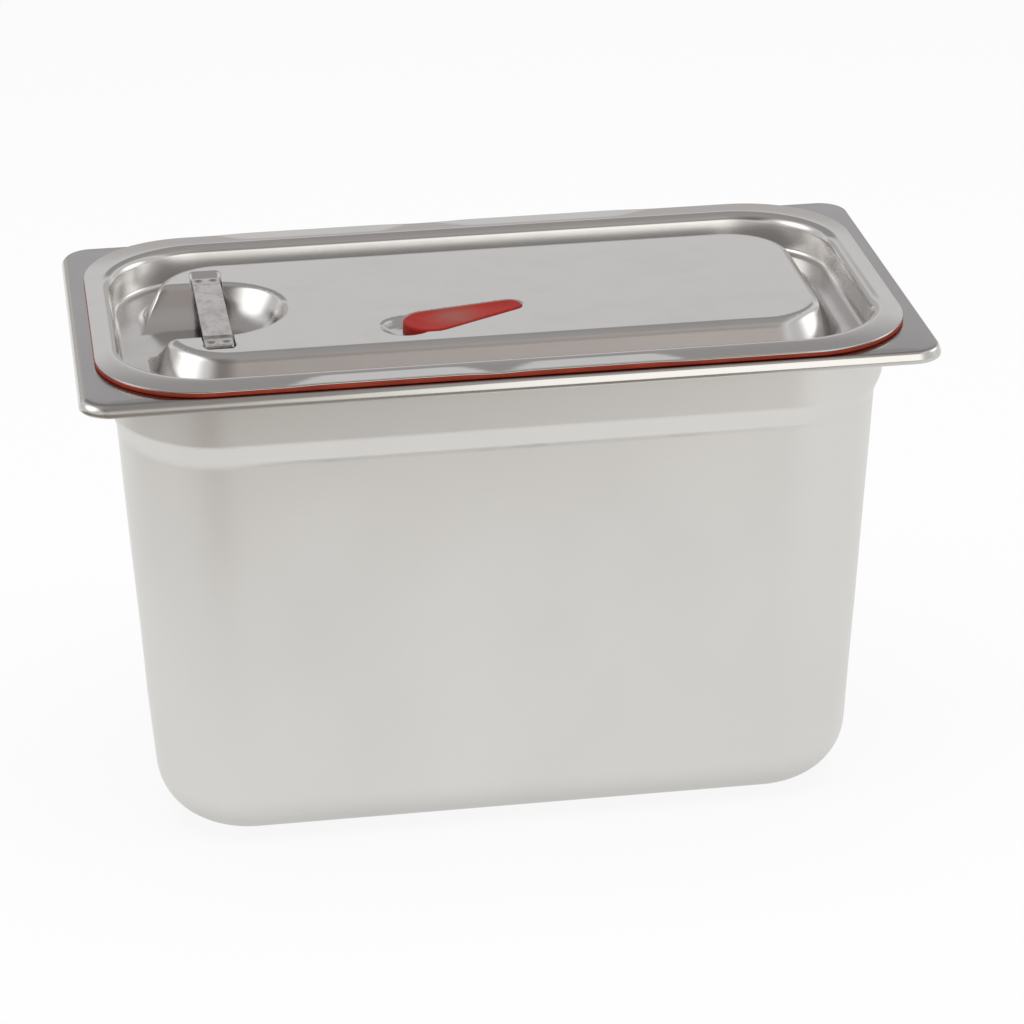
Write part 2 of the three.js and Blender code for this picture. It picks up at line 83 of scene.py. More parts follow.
scene = bpy.context.scene
scene.view_settings.view_transform = "Standard"
camera_back = Vector((
    math.sin(CAMERA_AZIMUTH) * math.cos(CAMERA_ELEVATION),
    -math.cos(CAMERA_AZIMUTH) * math.cos(CAMERA_ELEVATION),
    math.sin(CAMERA_ELEVATION),
))
level_right = Vector((math.cos(CAMERA_AZIMUTH), math.sin(CAMERA_AZIMUTH), 0.0))
level_up = camera_back.cross(level_right)
camera_right = level_right * math.cos(CAMERA_ROLL) + level_up * math.sin(CAMERA_ROLL)
camera_up = camera_back.cross(camera_right)
camera = bpy.data.objects.new("camera", bpy.data.cameras.new("camera"))
camera.data.lens = LENS
camera.data.sensor_width = SENSOR_WIDTH
turn = Matrix((camera_right, camera_up, camera_back)).transposed().to_4x4()
camera_place = (CAMERA_TARGET + camera_back * CAMERA_DISTANCE) * MM
camera.matrix_world = Matrix.Translation(camera_place) @ turn
scene.collection.objects.link(camera)
scene.camera = camera
print("camera at", [round(v, 3) for v in camera_place])

# %% [markdown]
# ## Walking along a bent sheet
# Pan and lid are sheets of one thickness, bent along straight lines and arcs. They could be drawn as two
# separate outlines, but then the two faces drift apart. A walk along one face knows its heading at every
# step, so the other face is the same walk, moved sideways by the sheet's thickness.

# %% A walk of lines and bends
class SheetWalk:
    """A walk along one face of a sheet that lies on its left. d points away from the middle, z up."""

    def __init__(self, d, z, heading):
        self.d, self.z, self.heading = d, z, heading
        self.marks = [(d, z, heading)]

    def line(self, length, steps=1):
        angle = math.radians(self.heading)
        for _ in range(steps):
            self.d += length / steps * math.cos(angle)
            self.z += length / steps * math.sin(angle)
            self.marks.append((self.d, self.z, self.heading))
        return self

    def bend(self, radius, degrees, steps):
        """Turns on an arc, to the left where the degrees are positive."""
        side = math.copysign(1.0, degrees)
        angle = math.radians(self.heading)
        centre_d = self.d - side * radius * math.sin(angle)
        centre_z = self.z + side * radius * math.cos(angle)
        for _ in range(steps):
            self.heading += degrees / steps
            angle = math.radians(self.heading)
            self.d = centre_d + side * radius * math.sin(angle)
            self.z = centre_z - side * radius * math.cos(angle)
            self.marks.append((self.d, self.z, self.heading))
        return self

    def face(self, depth):
        """Rows of d, z and sideways shift for the face that lies that deep in the sheet."""
        d, z, heading = np.array(self.marks).T
        shift = -depth * np.sin(np.radians(heading))
        return np.stack([d + shift, z + depth * np.cos(np.radians(heading)), shift], 1)


def wall_straight(drop, slope, radii):
    """Length of the straight stretch of a sloped wall with rounded ends."""
    angle = math.radians(slope)
    return (drop - radii * (1 - math.cos(angle))) / math.sin(angle)


def wall_run(drop, slope, radii):
    """How far that wall runs sideways as it drops."""
    angle = math.radians(slope)
    return radii * math.sin(angle) + wall_straight(drop, slope, radii) * math.cos(angle)


SAMPLE_WALL = {"drop": 10, "slope": 60, "radii": 5}
print("a wall with", SAMPLE_WALL, "runs", round(wall_run(**SAMPLE_WALL), 2), "mm sideways")

# %% [markdown]
# ## Rings and skins
# Seen from above every level of the pan is a rounded rectangle. A skin over a stack of them is a loft,
# and it needs as many points in each ring. A subdivision surface could round a coarse cage instead, but
# it would not keep a bend at its true radius. Normals are set from the faces, weighted by area, so flats
# stay flat right up to a bend.

# %% Rounded rings
CORNER_STEPS = 18
LONG_SIDE_STEPS = 64
SHORT_SIDE_STEPS = 20
QUADRANTS = (1, 1), (-1, 1), (-1, -1), (1, -1)


def rounded_ring(half_x, half_y, radius):
    """Points of a rounded rectangle, anticlockwise from its right-hand side."""
    quarter = np.linspace(0, np.pi / 2, CORNER_STEPS + 1)
    arcs = []
    for corner, (side_x, side_y) in enumerate(QUADRANTS):
        angle = quarter + corner * np.pi / 2
        x = side_x * (half_x - radius) + radius * np.cos(angle)
        y = side_y * (half_y - radius) + radius * np.sin(angle)
        arcs.append(np.stack([x, y], 1))
    stretches = []
    for corner, arc in enumerate(arcs):
        steps = SHORT_SIDE_STEPS if corner % 2 else LONG_SIDE_STEPS
        share = np.linspace(0, 1, steps + 1)[1:-1, None]
        stretches += [arc, arc[-1] + share * (arcs[(corner + 1) % len(arcs)][0] - arc[-1])]
    return np.vstack(stretches)


def at_height(ring, z):
    return np.column_stack([ring, np.broadcast_to(z, len(ring))])


# %% Skins and their normals
LEAST_LENGTH = 1e-12


def skin_faces(rows, count, start=0, closed=False):
    """Four-sided faces between rings that follow each other, and from the last to the first if closed."""
    here = np.arange(count)
    after = (here + 1) % count
    ring = np.arange(rows if closed else rows - 1)[:, None]
    low, high = ring * count, (ring + 1) % rows * count
    return np.stack([low + here, high + here, high + after, low + after], -1).reshape(-1, 4) + start


def unit(vectors):
    return vectors / np.maximum(np.linalg.norm(vectors, axis=-1, keepdims=True), LEAST_LENGTH)


def area_normals(points, *groups):
    """A normal at each point, in which a large face counts for more than a small one."""
    normals = np.zeros_like(points)
    for group in groups:
        corners = points[group] - points[group[:, :1]]
        area = np.cross(corners, np.roll(corners, -1, 1)).sum(1)
        for corner in group.T:
            np.add.at(normals, corner, area)
    return unit(normals)


def end_caps(total, count):
    """One face that closes the first ring of a skin, and one, turned over, for the last."""
    return np.stack([np.arange(count), np.arange(total - count, total)[::-1]])


# %% Mesh objects
def make_piece(name, points, groups, normals=None):
    """A smooth mesh object, in metres, from points in millimetres and groups of faces."""
    if normals is None:
        normals = area_normals(points, *groups)
    faces = [face for group in groups for face in group.tolist()]
    mesh = bpy.data.meshes.new(name)
    mesh.from_pydata((points * MM).tolist(), [], faces)
    mesh.polygons.foreach_set("use_smooth", np.ones(len(mesh.polygons), bool))
    mesh.normals_split_custom_set_from_vertices(normals.tolist())
    piece = bpy.data.objects.new(name, mesh)
    scene.collection.objects.link(piece)
    print(name, "has", len(mesh.vertices), "points and", len(mesh.polygons), "faces")
    return piece


# %% [markdown]
# ## Pan
# The pan is deep-drawn from one blank: a flat floor, walls that lean out a little so that pans nest, a
# shoulder that keeps nested pans from jamming, a straight collar, and a flat rim with its edge turned
# down. The walk starts at the lip's edge and ends on the floor, and the rim falls off a touch to the
# outside, as drawn rims do. At the left the lip is rounder and the shoulder's foot softer, so two walks
# are blended. The shoulder sits a little higher at the two ends. Drawn walls are never quite flat, so a
# ripple of a few tenths of a millimetre runs over them, which a satin wall shows as soft shading.

# %% The pan's walk
PAN_SHEET = 0.8
RIM_LEDGE = 13.7
RIM_FALL = 1.3
LIP_DROP = 4.6
LIP_LEAN = 20.0
COLLAR_BEND_RADIUS = 3.0
COLLAR_DEPTH = 24.0
SHOULDER_UPPER_RADIUS = 6.0
SHOULDER_TURN = 19.0
SHOULDER_REACH = 7.08
WALL_TAPER = 2.97
FLOOR_EDGE_RADIUS = 24.0
PAN_FORM = {"lip_facet": 1.8, "lip_lower": 2.4, "lip_upper": 1.6, "shoulder_lower": 3.4}
LEFT_FORM = {"lip_facet": 0.05, "lip_lower": 3.6, "lip_upper": 3.6, "shoulder_lower": 18.0}
LIP_EDGE_STEPS, LIP_LOWER_STEPS, LIP_FACET_STEPS, LIP_UPPER_STEPS = 2, 6, 3, 12
RIM_STEPS, COLLAR_BEND_STEPS, COLLAR_STEPS = 3, 14, 5
SHOULDER_BEND_STEPS, SHOULDER_FACET_STEPS, WALL_STEPS, FLOOR_EDGE_STEPS = 8, 2, 24, 18

rim_half_x, rim_half_y, pan_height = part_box("pan_body")[1] / MM
collar_half_x, collar_half_y = rim_half_x - RIM_LEDGE, rim_half_y - RIM_LEDGE
edge_round = PAN_SHEET / 2
lean, fall, taper = (math.radians(angle) for angle in (LIP_LEAN, RIM_FALL, WALL_TAPER))


def pan_profile(lip_facet, lip_lower, lip_upper, shoulder_lower):
    """A walk from the lip's edge to the floor, and its counts of marks at the collar and the wall."""
    lip_bends = lip_lower * math.sin(lean) + lip_upper * (1 - math.sin(lean))
    rim_flat = RIM_LEDGE - COLLAR_BEND_RADIUS * (1 + math.sin(fall))
    rim_flat -= lip_lower * (1 - math.cos(lean)) + lip_facet * math.sin(lean)
    rim_flat -= lip_upper * (math.cos(lean) - math.sin(fall))
    lip_edge = pan_height - LIP_DROP - rim_flat * math.sin(fall) + edge_round
    walk = SheetWalk(RIM_LEDGE, lip_edge, 90)
    walk.line(LIP_DROP - edge_round - lip_bends - lip_facet * math.cos(lean), LIP_EDGE_STEPS)
    walk.bend(lip_lower, LIP_LEAN, LIP_LOWER_STEPS)
    walk.line(lip_facet, LIP_FACET_STEPS)
    walk.bend(lip_upper, 90 - LIP_LEAN - RIM_FALL, LIP_UPPER_STEPS)
    walk.line(rim_flat, RIM_STEPS)
    walk.bend(COLLAR_BEND_RADIUS, 90 + RIM_FALL, COLLAR_BEND_STEPS)
    collar_mark = len(walk.marks)
    walk.line(COLLAR_DEPTH - COLLAR_BEND_RADIUS, COLLAR_STEPS)
    walk.bend(SHOULDER_UPPER_RADIUS, -SHOULDER_TURN, SHOULDER_BEND_STEPS)
    foot_turn = SHOULDER_TURN - WALL_TAPER
    facet = SHOULDER_REACH - shoulder_lower * math.tan(math.radians(foot_turn / 2))
    walk.line(facet, SHOULDER_FACET_STEPS)
    walk.bend(shoulder_lower, foot_turn, SHOULDER_BEND_STEPS)
    wall_mark = len(walk.marks)
    floor_rise = FLOOR_EDGE_RADIUS * (1 - math.sin(taper))
    walk.line((walk.z - PAN_SHEET - floor_rise) / math.cos(taper), WALL_STEPS)
    walk.bend(FLOOR_EDGE_RADIUS, WALL_TAPER - 90, FLOOR_EDGE_STEPS)
    return walk, collar_mark, wall_mark


pan_walk, collar_mark, wall_mark = pan_profile(**PAN_FORM)
left_walk = pan_profile(**LEFT_FORM)[0]
shoulder_foot = pan_walk.marks[wall_mark - 1][1]
print("pan's shoulder ends", round(shoulder_foot, 1), "mm up, on a walk of", len(pan_walk.marks), "marks")

# %% Rings of the pan
RIM_CORNER_RADIUS = 12.0
COLLAR_CORNER_RADIUS = 40.7
FLOOR_CORNER_RADIUS = 37.0
LEFT_LIP = (-120, 10), (1, 0)
LEFT_SHOULDER = (-110, -85), (1, 0)
CUT_EDGE_STEPS = 6

floor_line = pan_walk.marks[wall_mark + WALL_STEPS - 1][0]


def pan_corner_radius(d):
    """The corner's radius on the walk: tight at the rim, wide at the collar, easing down the wall."""
    if d > RIM_LEDGE / 2:
        return RIM_CORNER_RADIUS + d - RIM_LEDGE
    if d > 0:
        return COLLAR_CORNER_RADIUS + d
    if d > floor_line:
        return COLLAR_CORNER_RADIUS + (FLOOR_CORNER_RADIUS - COLLAR_CORNER_RADIUS) * d / floor_line
    return FLOOR_CORNER_RADIUS + d - floor_line


def pan_ring(d, z, shift):
    """The ring of one mark on a walk."""
    radius = pan_corner_radius(d - shift) + shift
    return at_height(rounded_ring(collar_half_x + d, collar_half_y + d, radius), z)


def pan_rings(depth):
    """Rings of the pan's face at some depth in the sheet, from the lip's edge to the floor."""
    rings = []
    for mark, levels in enumerate(zip(pan_walk.face(depth), left_walk.face(depth))):
        plain, left = (pan_ring(*level) for level in levels)
        share = np.interp(plain[:, 0], *(LEFT_LIP if mark < collar_mark else LEFT_SHOULDER))
        rings.append(plain + share[:, None] * (left - plain))
    return rings


def pan_edge_rings(lip_line):
    """Rings round the lip's cut edge, from its inner to its outer side."""
    rings = []
    for angle in np.linspace(np.pi, 2 * np.pi, CUT_EDGE_STEPS + 1)[1:-1]:
        inset = edge_round * (1 - math.cos(angle))
        ring = rounded_ring(rim_half_x - inset, rim_half_y - inset, RIM_CORNER_RADIUS - inset)
        rings.append(at_height(ring, lip_line[:, 2] + edge_round * math.sin(angle)))
    return rings


inner_rings = pan_rings(0.0)[::-1]
outer_rings = pan_rings(PAN_SHEET)
rings = inner_rings + pan_edge_rings(inner_rings[-1])[::-1] + outer_rings
ring_count = len(rings[0])
print("pan has", len(rings), "rings of", ring_count, "points")

# %% The pan's mesh
SHOULDER_RISE = 2.2
RISE_FADE = (115, 160, 178, 197), (0, 1, 1, 0)
WALL_WAVES = ((190, 260, 0.4, 0.16), (-120, 95, 1.9, 0.07), (75, -140, 2.6, 0.04))
WALL_EASE = 35.0


def ripple(x, y, waves):
    """A gentle unevenness: a sum of long waves, each with two wavelengths, a phase and a height."""
    total = np.zeros(np.broadcast(x, y).shape)
    for length_x, length_y, phase, height in waves:
        total += height * np.sin(2 * np.pi * (x / length_x + y / length_y) + phase)
    return total


pan_points = np.vstack(rings)
collar_line = rounded_ring(collar_half_x, collar_half_y, COLLAR_CORNER_RADIUS)
outward = rounded_ring(collar_half_x + 1, collar_half_y + 1, COLLAR_CORNER_RADIUS + 1) - collar_line
away = np.tile(outward, (len(rings), 1))
pan_points[:, 2] += SHOULDER_RISE * away[:, 0] ** 2 * np.interp(pan_points[:, 2], *RISE_FADE)
wall_top = pan_height - COLLAR_DEPTH
above_floor = np.clip((pan_points[:, 2] - FLOOR_EDGE_RADIUS) / WALL_EASE, 0, 1)
below_shoulder = np.clip((wall_top - pan_points[:, 2]) / WALL_EASE, 0, 1)
bulge = ripple(pan_points[:, 0] + pan_points[:, 1], pan_points[:, 2], WALL_WAVES)
pan_points[:, :2] += away * (bulge * above_floor * below_shoulder)[:, None]
pan_groups = skin_faces(len(rings), ring_count), end_caps(len(pan_points), ring_count)
pan = make_piece("pan_drawn", pan_points, pan_groups)
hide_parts("pan_body")
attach(pan, "pan")

# %% [markdown]
# ## Lid: one pressing as a height map
# The lid is pressed from one flat blank, so seen from above each spot has one height. That makes a height
# map the natural description: a plateau that falls into a moat, a hand scoop that is let into the
# plateau's end, two shallow seats for the strap, and a recess with a fingertip dip for the vent tab. Each
# is a wall of arc, straight slope and arc, measured by the distance to its outline. Booleans of lofted
# solids would leave sharp creases where two walls meet. Here the walls are blended, as a press rounds
# them.

# %% Sizes of the lid
LID_SHEET = 0.8
PLATEAU_FROM_ENDS = 26.3
PLATEAU_FROM_SIDES = 26.8
PLATEAU_DROP = 0.3

lid_low, lid_high = (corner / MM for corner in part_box("lid_shell"))
flange_half_x, flange_half_y, flange_top = lid_high
moat_floor = lid_low.z + LID_SHEET
plateau_top = flange_top - PLATEAU_DROP
plateau_height = plateau_top - moat_floor
plateau_half_x = collar_half_x - PLATEAU_FROM_ENDS
plateau_half_y = collar_half_y - PLATEAU_FROM_SIDES
strap_low, strap_high = (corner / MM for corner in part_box("lid_handle"))
scoop_x = (strap_low.x + strap_high.x) / 2
strap_half = strap_high.y
strap_width = strap_high.x - strap_low.x
plateau_size = [round(2 * half, 1) for half in (plateau_half_x, plateau_half_y)]
print("plateau", plateau_size, "mm, scoop at", round(scoop_x, 1))

# %% The vent's axes and sizes
VENT_SPAN = 34.0
VENT_THICKNESS = 3.8
VENT_HINGE_FROM_NARROW = 4.5
FIT_GAP = 0.25

hinge = next(joint for joint in frame["joints"] if joint["name"] == "vent_hinge")
hinge_at = np.array(hinge["pos_m"]) / MM
vent_across = np.array(hinge["axis"][:2])
vent_along = np.array([vent_across[1], -vent_across[0]])
vent_wide = hinge_at[:2] - vent_along * (VENT_SPAN - VENT_HINGE_FROM_NARROW)
vent_top = hinge_at[2]
recess_floor = vent_top - VENT_THICKNESS - FIT_GAP


def vent_point(along):
    return vent_wide + vent_along * along


print("vent from", vent_wide.round(1), "to", vent_point(VENT_SPAN).round(1))

# %% Walls of the pressing
def pressed_drop(inside, drop, slope, bend, foot):
    """How deep a wall has dropped at a distance inside its upper edge."""
    angle = math.radians(slope)
    bend_end = bend * math.sin(angle)
    slope_end = bend_end + wall_straight(drop, slope, bend + foot) * math.cos(angle)
    foot_run = foot * math.sin(angle)
    arc = bend - np.sqrt(np.maximum(bend ** 2 - np.clip(inside, 0, bend_end) ** 2, 0))
    fall = np.clip(inside - bend_end, 0, slope_end - bend_end) * math.tan(angle)
    left = np.clip(slope_end + foot_run - inside, 0, foot_run)
    toe = foot - np.sqrt(np.maximum(foot ** 2 - left ** 2, 0))
    return np.where(inside < slope_end, arc + fall, drop - toe)


def deeper(first, second, soft):
    """The larger of two drops, with the crease between them rounded off."""
    mix = np.clip(0.5 + 0.5 * (second - first) / soft, 0, 1)
    ease = np.clip(np.minimum(first, second) / soft, 0, 1)
    return first + (second - first) * mix + soft * ease * mix * (1 - mix)


# %% Outlines of the pressing
VENT_WIDE_RADIUS = 10.6
VENT_NARROW_RADIUS = 5.2


def beyond_rectangle(x, y, half_x, half_y, radius):
    """Distance outside a rounded rectangle, negative inside it."""
    over_x, over_y = np.abs(x) - half_x + radius, np.abs(y) - half_y + radius
    outside = np.hypot(np.maximum(over_x, 0), np.maximum(over_y, 0))
    return outside + np.minimum(np.maximum(over_x, over_y), 0) - radius


def on_vent_axis(x, y):
    """How far spots lie along the vent's axis, from its wide end, and beside it."""
    from_x, from_y = x - vent_wide[0], y - vent_wide[1]
    along = from_x * vent_along[0] + from_y * vent_along[1]
    return along, np.abs(from_x * vent_across[0] + from_y * vent_across[1])


def beyond_teardrop(x, y, wide_at, wide_radius, narrow_at, narrow_radius):
    """Distance outside a teardrop on the vent's axis."""
    along, across = on_vent_axis(x, y)
    along = along - wide_at
    span = narrow_at - wide_at
    lean = (wide_radius - narrow_radius) / span
    upright = math.sqrt(1 - lean ** 2)
    reach = upright * along - lean * across
    flank = upright * across + lean * along - wide_radius
    wide_end = np.hypot(along, across) - wide_radius
    narrow_end = np.hypot(along - span, across) - narrow_radius
    return np.where(reach < 0, wide_end, np.where(reach > upright * span, narrow_end, flank))


def beyond_tab(x, y, margin):
    """Distance outside the vent tab's outline, drawn larger by a margin."""
    wide, narrow = VENT_WIDE_RADIUS + margin, VENT_NARROW_RADIUS + margin
    return beyond_teardrop(x, y, 0.0, wide, VENT_SPAN, narrow)


print("vent tab is", VENT_WIDE_RADIUS + VENT_SPAN + VENT_NARROW_RADIUS, "mm long")

# %% Scoop, seats and recess
SCOOP_RIM_RADIUS = 30.5
SCOOP_WALL = {"slope": 56, "bend": 3.4, "foot": 16.0}
SEAT_DEPTH = 2.45
SEAT_WALL = {"slope": 24, "bend": 1.6, "foot": 0.6}
SEAT_STEEPER_SIDES = (-1.0, 1.5), (14.0, 4.0)
SEAT_MARGIN = 0.2
SEAT_END_ROOM = 0.6
SEAT_CORNER_RADIUS = 6.0
RECESS_WALL = {"slope": 82, "bend": 1.2, "foot": 0.3}
RECESS_MARGIN = 1.0
DIP_WALL = {"slope": 30, "bend": 2.2, "foot": 5.0}
DIP_WIDE = {"wide_at": -10.2, "wide_radius": 11.0, "narrow_at": 12.0, "narrow_radius": 6.0}
DIP_RAMP = (-21.5, -9.0), (1.7, 2.6)
DIP_SOFTNESS = 0.8


def scoop_drop(x, y):
    """The hand scoop: a round bowl that runs out to the left."""
    reach = np.where(x > scoop_x, np.hypot(x - scoop_x, y), np.abs(y))
    return pressed_drop(SCOOP_RIM_RADIUS - reach, plateau_height, **SCOOP_WALL)


def seat_drop(x, y):
    """The two pockets that the strap's ends lie in."""
    run = wall_run(SEAT_DEPTH, SEAT_WALL["slope"], SEAT_WALL["bend"] + SEAT_WALL["foot"])
    outer, inner = strap_half + SEAT_END_ROOM + run, SCOOP_RIM_RADIUS / 2
    steeper = np.interp(np.abs(y) - strap_half, *SEAT_STEEPER_SIDES)
    half_x, half_y = (strap_width / 2 + SEAT_MARGIN) * steeper + run, (outer - inner) / 2
    beside, from_middle = (x - scoop_x) * steeper, np.abs(y) - (outer + inner) / 2
    beyond = beyond_rectangle(beside, from_middle, half_x, half_y, SEAT_CORNER_RADIUS + run)
    return pressed_drop(-beyond, SEAT_DEPTH, **SEAT_WALL)


def recess_drop(x, y):
    """The pocket that the vent tab lies in, and its dip for a fingertip."""
    pocket = pressed_drop(-beyond_tab(x, y, RECESS_MARGIN), plateau_top - recess_floor, **RECESS_WALL)
    depth = np.interp(on_vent_axis(x, y)[0], *DIP_RAMP)
    ramp = pressed_drop(-beyond_teardrop(x, y, **DIP_WIDE), depth, **DIP_WALL)
    return deeper(pocket, ramp, DIP_SOFTNESS)


print("vent recess is", round(plateau_top - recess_floor, 2), "mm deep")

# %% The lid's height map
PLATEAU_CORNER_RADIUS = 21.0
PLATEAU_WALL = {"slope": 60, "bend": 5.0, "foot": 4.0}
HORN_SHARPNESS = 7.0
SEAT_SOFTNESS = 0.5
LEAST_LEVEL = 1e-4
LID_WAVES = ((150, 210, 0.3, 0.018), (-95, 130, 1.2, 0.009), (70, -110, 4.0, 0.005))


def lid_height(x, y):
    """Height of the lid's upper face inside the moat."""
    beyond = beyond_rectangle(x, y, plateau_half_x, plateau_half_y, PLATEAU_CORNER_RADIUS)
    wall = pressed_drop(beyond, plateau_height, **PLATEAU_WALL)
    plateau = np.maximum(1 - wall / plateau_height, LEAST_LEVEL)
    bowl = np.maximum(1 - scoop_drop(x, y) / plateau_height, LEAST_LEVEL)
    level = (plateau ** -HORN_SHARPNESS + bowl ** -HORN_SHARPNESS - 1) ** (-1 / HORN_SHARPNESS)
    drop = plateau_height * (1 - level)
    drop = deeper(drop, seat_drop(x, y), SEAT_SOFTNESS)
    drop = np.maximum(drop, recess_drop(x, y))
    return plateau_top - drop + ripple(x, y, LID_WAVES)


def lid_slopes(x, y, step=0.01):
    """Slopes of the height map along x and y."""
    slope_x = (lid_height(x + step, y) - lid_height(x - step, y)) / (2 * step)
    slope_y = (lid_height(x, y + step) - lid_height(x, y - step)) / (2 * step)
    return slope_x, slope_y


def lid_upright(x, y):
    """Normals of the height map."""
    slope_x, slope_y = lid_slopes(x, y)
    return unit(np.stack([-slope_x, -slope_y, np.ones_like(x)], -1))


print("plateau stands", round(plateau_height, 2), "mm above the moat's floor")

# %% [markdown]
# ## Lid: points where the sheet bends
# A regular grid that is fine enough for the small bends would need a million points. Square cells that
# split only where the middle of a cell strays from its corners, or where the sheet turns by a degree,
# need far fewer: large on the flats, a quarter of a millimetre in the tightest bends. A Delaunay
# triangulation joins their corners, with the moat's outline and the two vent holes as fixed edges.

# %% Points of the height map
LARGEST_CELL = 8.0
SMALLEST_CELL = 0.25
FLATNESS = 0.03
LARGEST_TURN = 1.2
TURNING_CELL = 1.0
CELL_CORNERS = np.array([(0, 0), (1, 0), (0, 1), (1, 1)])
CELL_SPOTS = (0.5, 0.5), (0.5, 0), (0.5, 1), (0, 0.5), (1, 0.5), (0.25, 0.25), (0.75, 0.75)


def cell_points(half_x, half_y):
    """Corners of square cells that are split until each is nearly flat."""
    size = LARGEST_CELL
    count_x, count_y = math.ceil(half_x / size), math.ceil(half_y / size)
    grid_x, grid_y = np.meshgrid(np.arange(-count_x, count_x) * size, np.arange(-count_y, count_y) * size)
    low = np.column_stack([grid_x.ravel(), grid_y.ravel()])
    found = []
    while len(low):
        x, y = (low[:, None, :] + CELL_CORNERS * size).transpose(2, 0, 1)
        height = lid_height(x, y)
        steep = np.hypot(*lid_slopes(low[:, 0] + size / 2, low[:, 1] + size / 2))
        error = np.zeros(len(low))
        for share_x, share_y in CELL_SPOTS:
            weights = np.outer((1 - share_y, share_y), (1 - share_x, share_x)).ravel()
            middle = lid_height(low[:, 0] + share_x * size, low[:, 1] + share_y * size)
            error = np.maximum(error, np.abs(height @ weights - middle))
        normals = lid_upright(x, y)
        turn = np.degrees(np.arccos(np.clip((normals * normals[:, :1]).sum(-1).min(1), -1, 1)))
        strayed = error / np.sqrt(1 + steep ** 2) > FLATNESS
        turned = (turn > LARGEST_TURN) & (size > TURNING_CELL)
        split = (strayed | turned) & (size > SMALLEST_CELL)
        found.append((low[~split][:, None, :] + CELL_CORNERS * size).reshape(-1, 2))
        size /= 2
        low = (low[split][:, None, :] + CELL_CORNERS * size).reshape(-1, 2)
    return np.unique(np.vstack(found), axis=0)


# %% Triangles between outlines
INSIDE_ONLY = 1
MERGE_WITHIN = 1e-7
CIRCLE_STEPS = 48


def outside_hole(points, hole, room=0.0):
    """Which points lie outside a round hole by more than some room."""
    centre = hole.mean(0)
    radius = np.linalg.norm(hole[0] - centre)
    return np.linalg.norm(points - centre, axis=1) > radius + room


def fill(outline, holes, inner):
    """Points and triangles that fill an outline but for its holes. The outline and holes come first."""
    loops = [outline, *holes]
    points = np.vstack([*loops, inner])
    edges = []
    for loop in loops:
        start = len(edges)
        edges += [(start + i, start + (i + 1) % len(loop)) for i in range(len(loop))]
    vectors = [Vector(point) for point in points]
    _, _, faces, sources, _, _ = delaunay_2d_cdt(vectors, edges, [], INSIDE_ONLY, MERGE_WITHIN)
    first_source = np.array([source[0] for source in sources])
    triangles = first_source[np.array(faces)]
    for hole in holes:
        triangles = triangles[outside_hole(points[triangles].mean(1), hole)]
    return points, triangles


def circle(centre, radius):
    angle = np.arange(CIRCLE_STEPS) * 2 * np.pi / CIRCLE_STEPS
    return centre + radius * np.column_stack([np.cos(angle), np.sin(angle)])


# %% [markdown]
# ## Lid: moat wall and flange
# Outside the moat's floor the lid is a plain bent edge, so it is skinned from rings, like the pan: up the
# moat's wall, which leans more at the long sides than at the ends, over a bend and out on the flange,
# which lies on the seal. A pressed flange is never dead flat. It falls off to the outside, but for some
# stretches where its outer part runs level. They show as lighter lenses in its mirror image.

# %% The moat's wall
SEAL_SPACE = 3.2
END_WALL = {"draft": 2.5, "bend": 4.2}
SIDE_WALL = {"draft": 15.5, "bend": 4.2}
MOAT_FILLET = 2.4
MOAT_BEND_STEPS, MOAT_WALL_STEPS, MOAT_FILLET_STEPS = 14, 3, 12

on_side = outward[:, 1] ** 2


def moat_walk(draft, bend):
    """A walk from the flange's flat down to the moat's floor."""
    turn = 90 - draft
    walk = SheetWalk(-SEAL_SPACE - LID_SHEET + bend, flange_top, 180)
    walk.bend(bend, turn, MOAT_BEND_STEPS)
    walk.line(wall_straight(flange_top - moat_floor, turn, bend + MOAT_FILLET), MOAT_WALL_STEPS)
    return walk.bend(MOAT_FILLET, -turn, MOAT_FILLET_STEPS)


def collar_ring(d, z):
    """A ring at a distance outside the pan's collar."""
    return at_height(collar_line + outward * np.broadcast_to(d, len(outward))[:, None], z)


def moat_levels(depth):
    """Distances and heights down the moat's wall, which change from the ends to the long sides."""
    end, side = moat_walk(**END_WALL).face(depth), moat_walk(**SIDE_WALL).face(depth)
    return [(e[0] + on_side * (s[0] - e[0]), e[1] + on_side * (s[1] - e[1])) for e, s in zip(end, side)]


def moat_rings(depth):
    """Rings from the flange's flat down to the moat's floor."""
    return [collar_ring(d, z) for d, z in moat_levels(depth)]


print("moat is", round(flange_top - moat_floor, 2), "mm deep")

# %% The flange
FLANGE_CORNER_RADIUS = 42.0
FLANGE_FALL = 0.5
FALL_POWER = 1.2
FLANGE_EDGE_ROUND = 0.22
FLANGE_ROWS = 18
LENSES = ((-47.8, -82, 38.6), (29.1, -82, 34.4), (-60, 82, 40), (35, 82, 45))
LENS_FULLNESS = 1.8
LENS_START = 0.28
ANGLE_DIGITS = 6
FLANGE_EDGE_STEPS = 8


def flange_ring(share, z, inset=0.0):
    """A ring on the flange, from its inner edge at share 0 to its outer edge at share 1."""
    inner = collar_ring(moat_levels(0.0)[0][0], 0.0)[:, :2]
    outer = rounded_ring(flange_half_x - inset, flange_half_y - inset, FLANGE_CORNER_RADIUS - inset)
    ring = inner + share * (outer - inner)
    lens = np.zeros(len(ring))
    for x, y, half in LENSES:
        near = LENS_FULLNESS * (1 - ((ring[:, 0] - x) ** 2 + (ring[:, 1] - y) ** 2) / half ** 2)
        lens = np.maximum(lens, np.minimum(near, 1))
    level_from = 1 - (1 - LENS_START) * lens
    return at_height(ring, z - FLANGE_FALL * np.minimum(share, level_from) ** FALL_POWER)


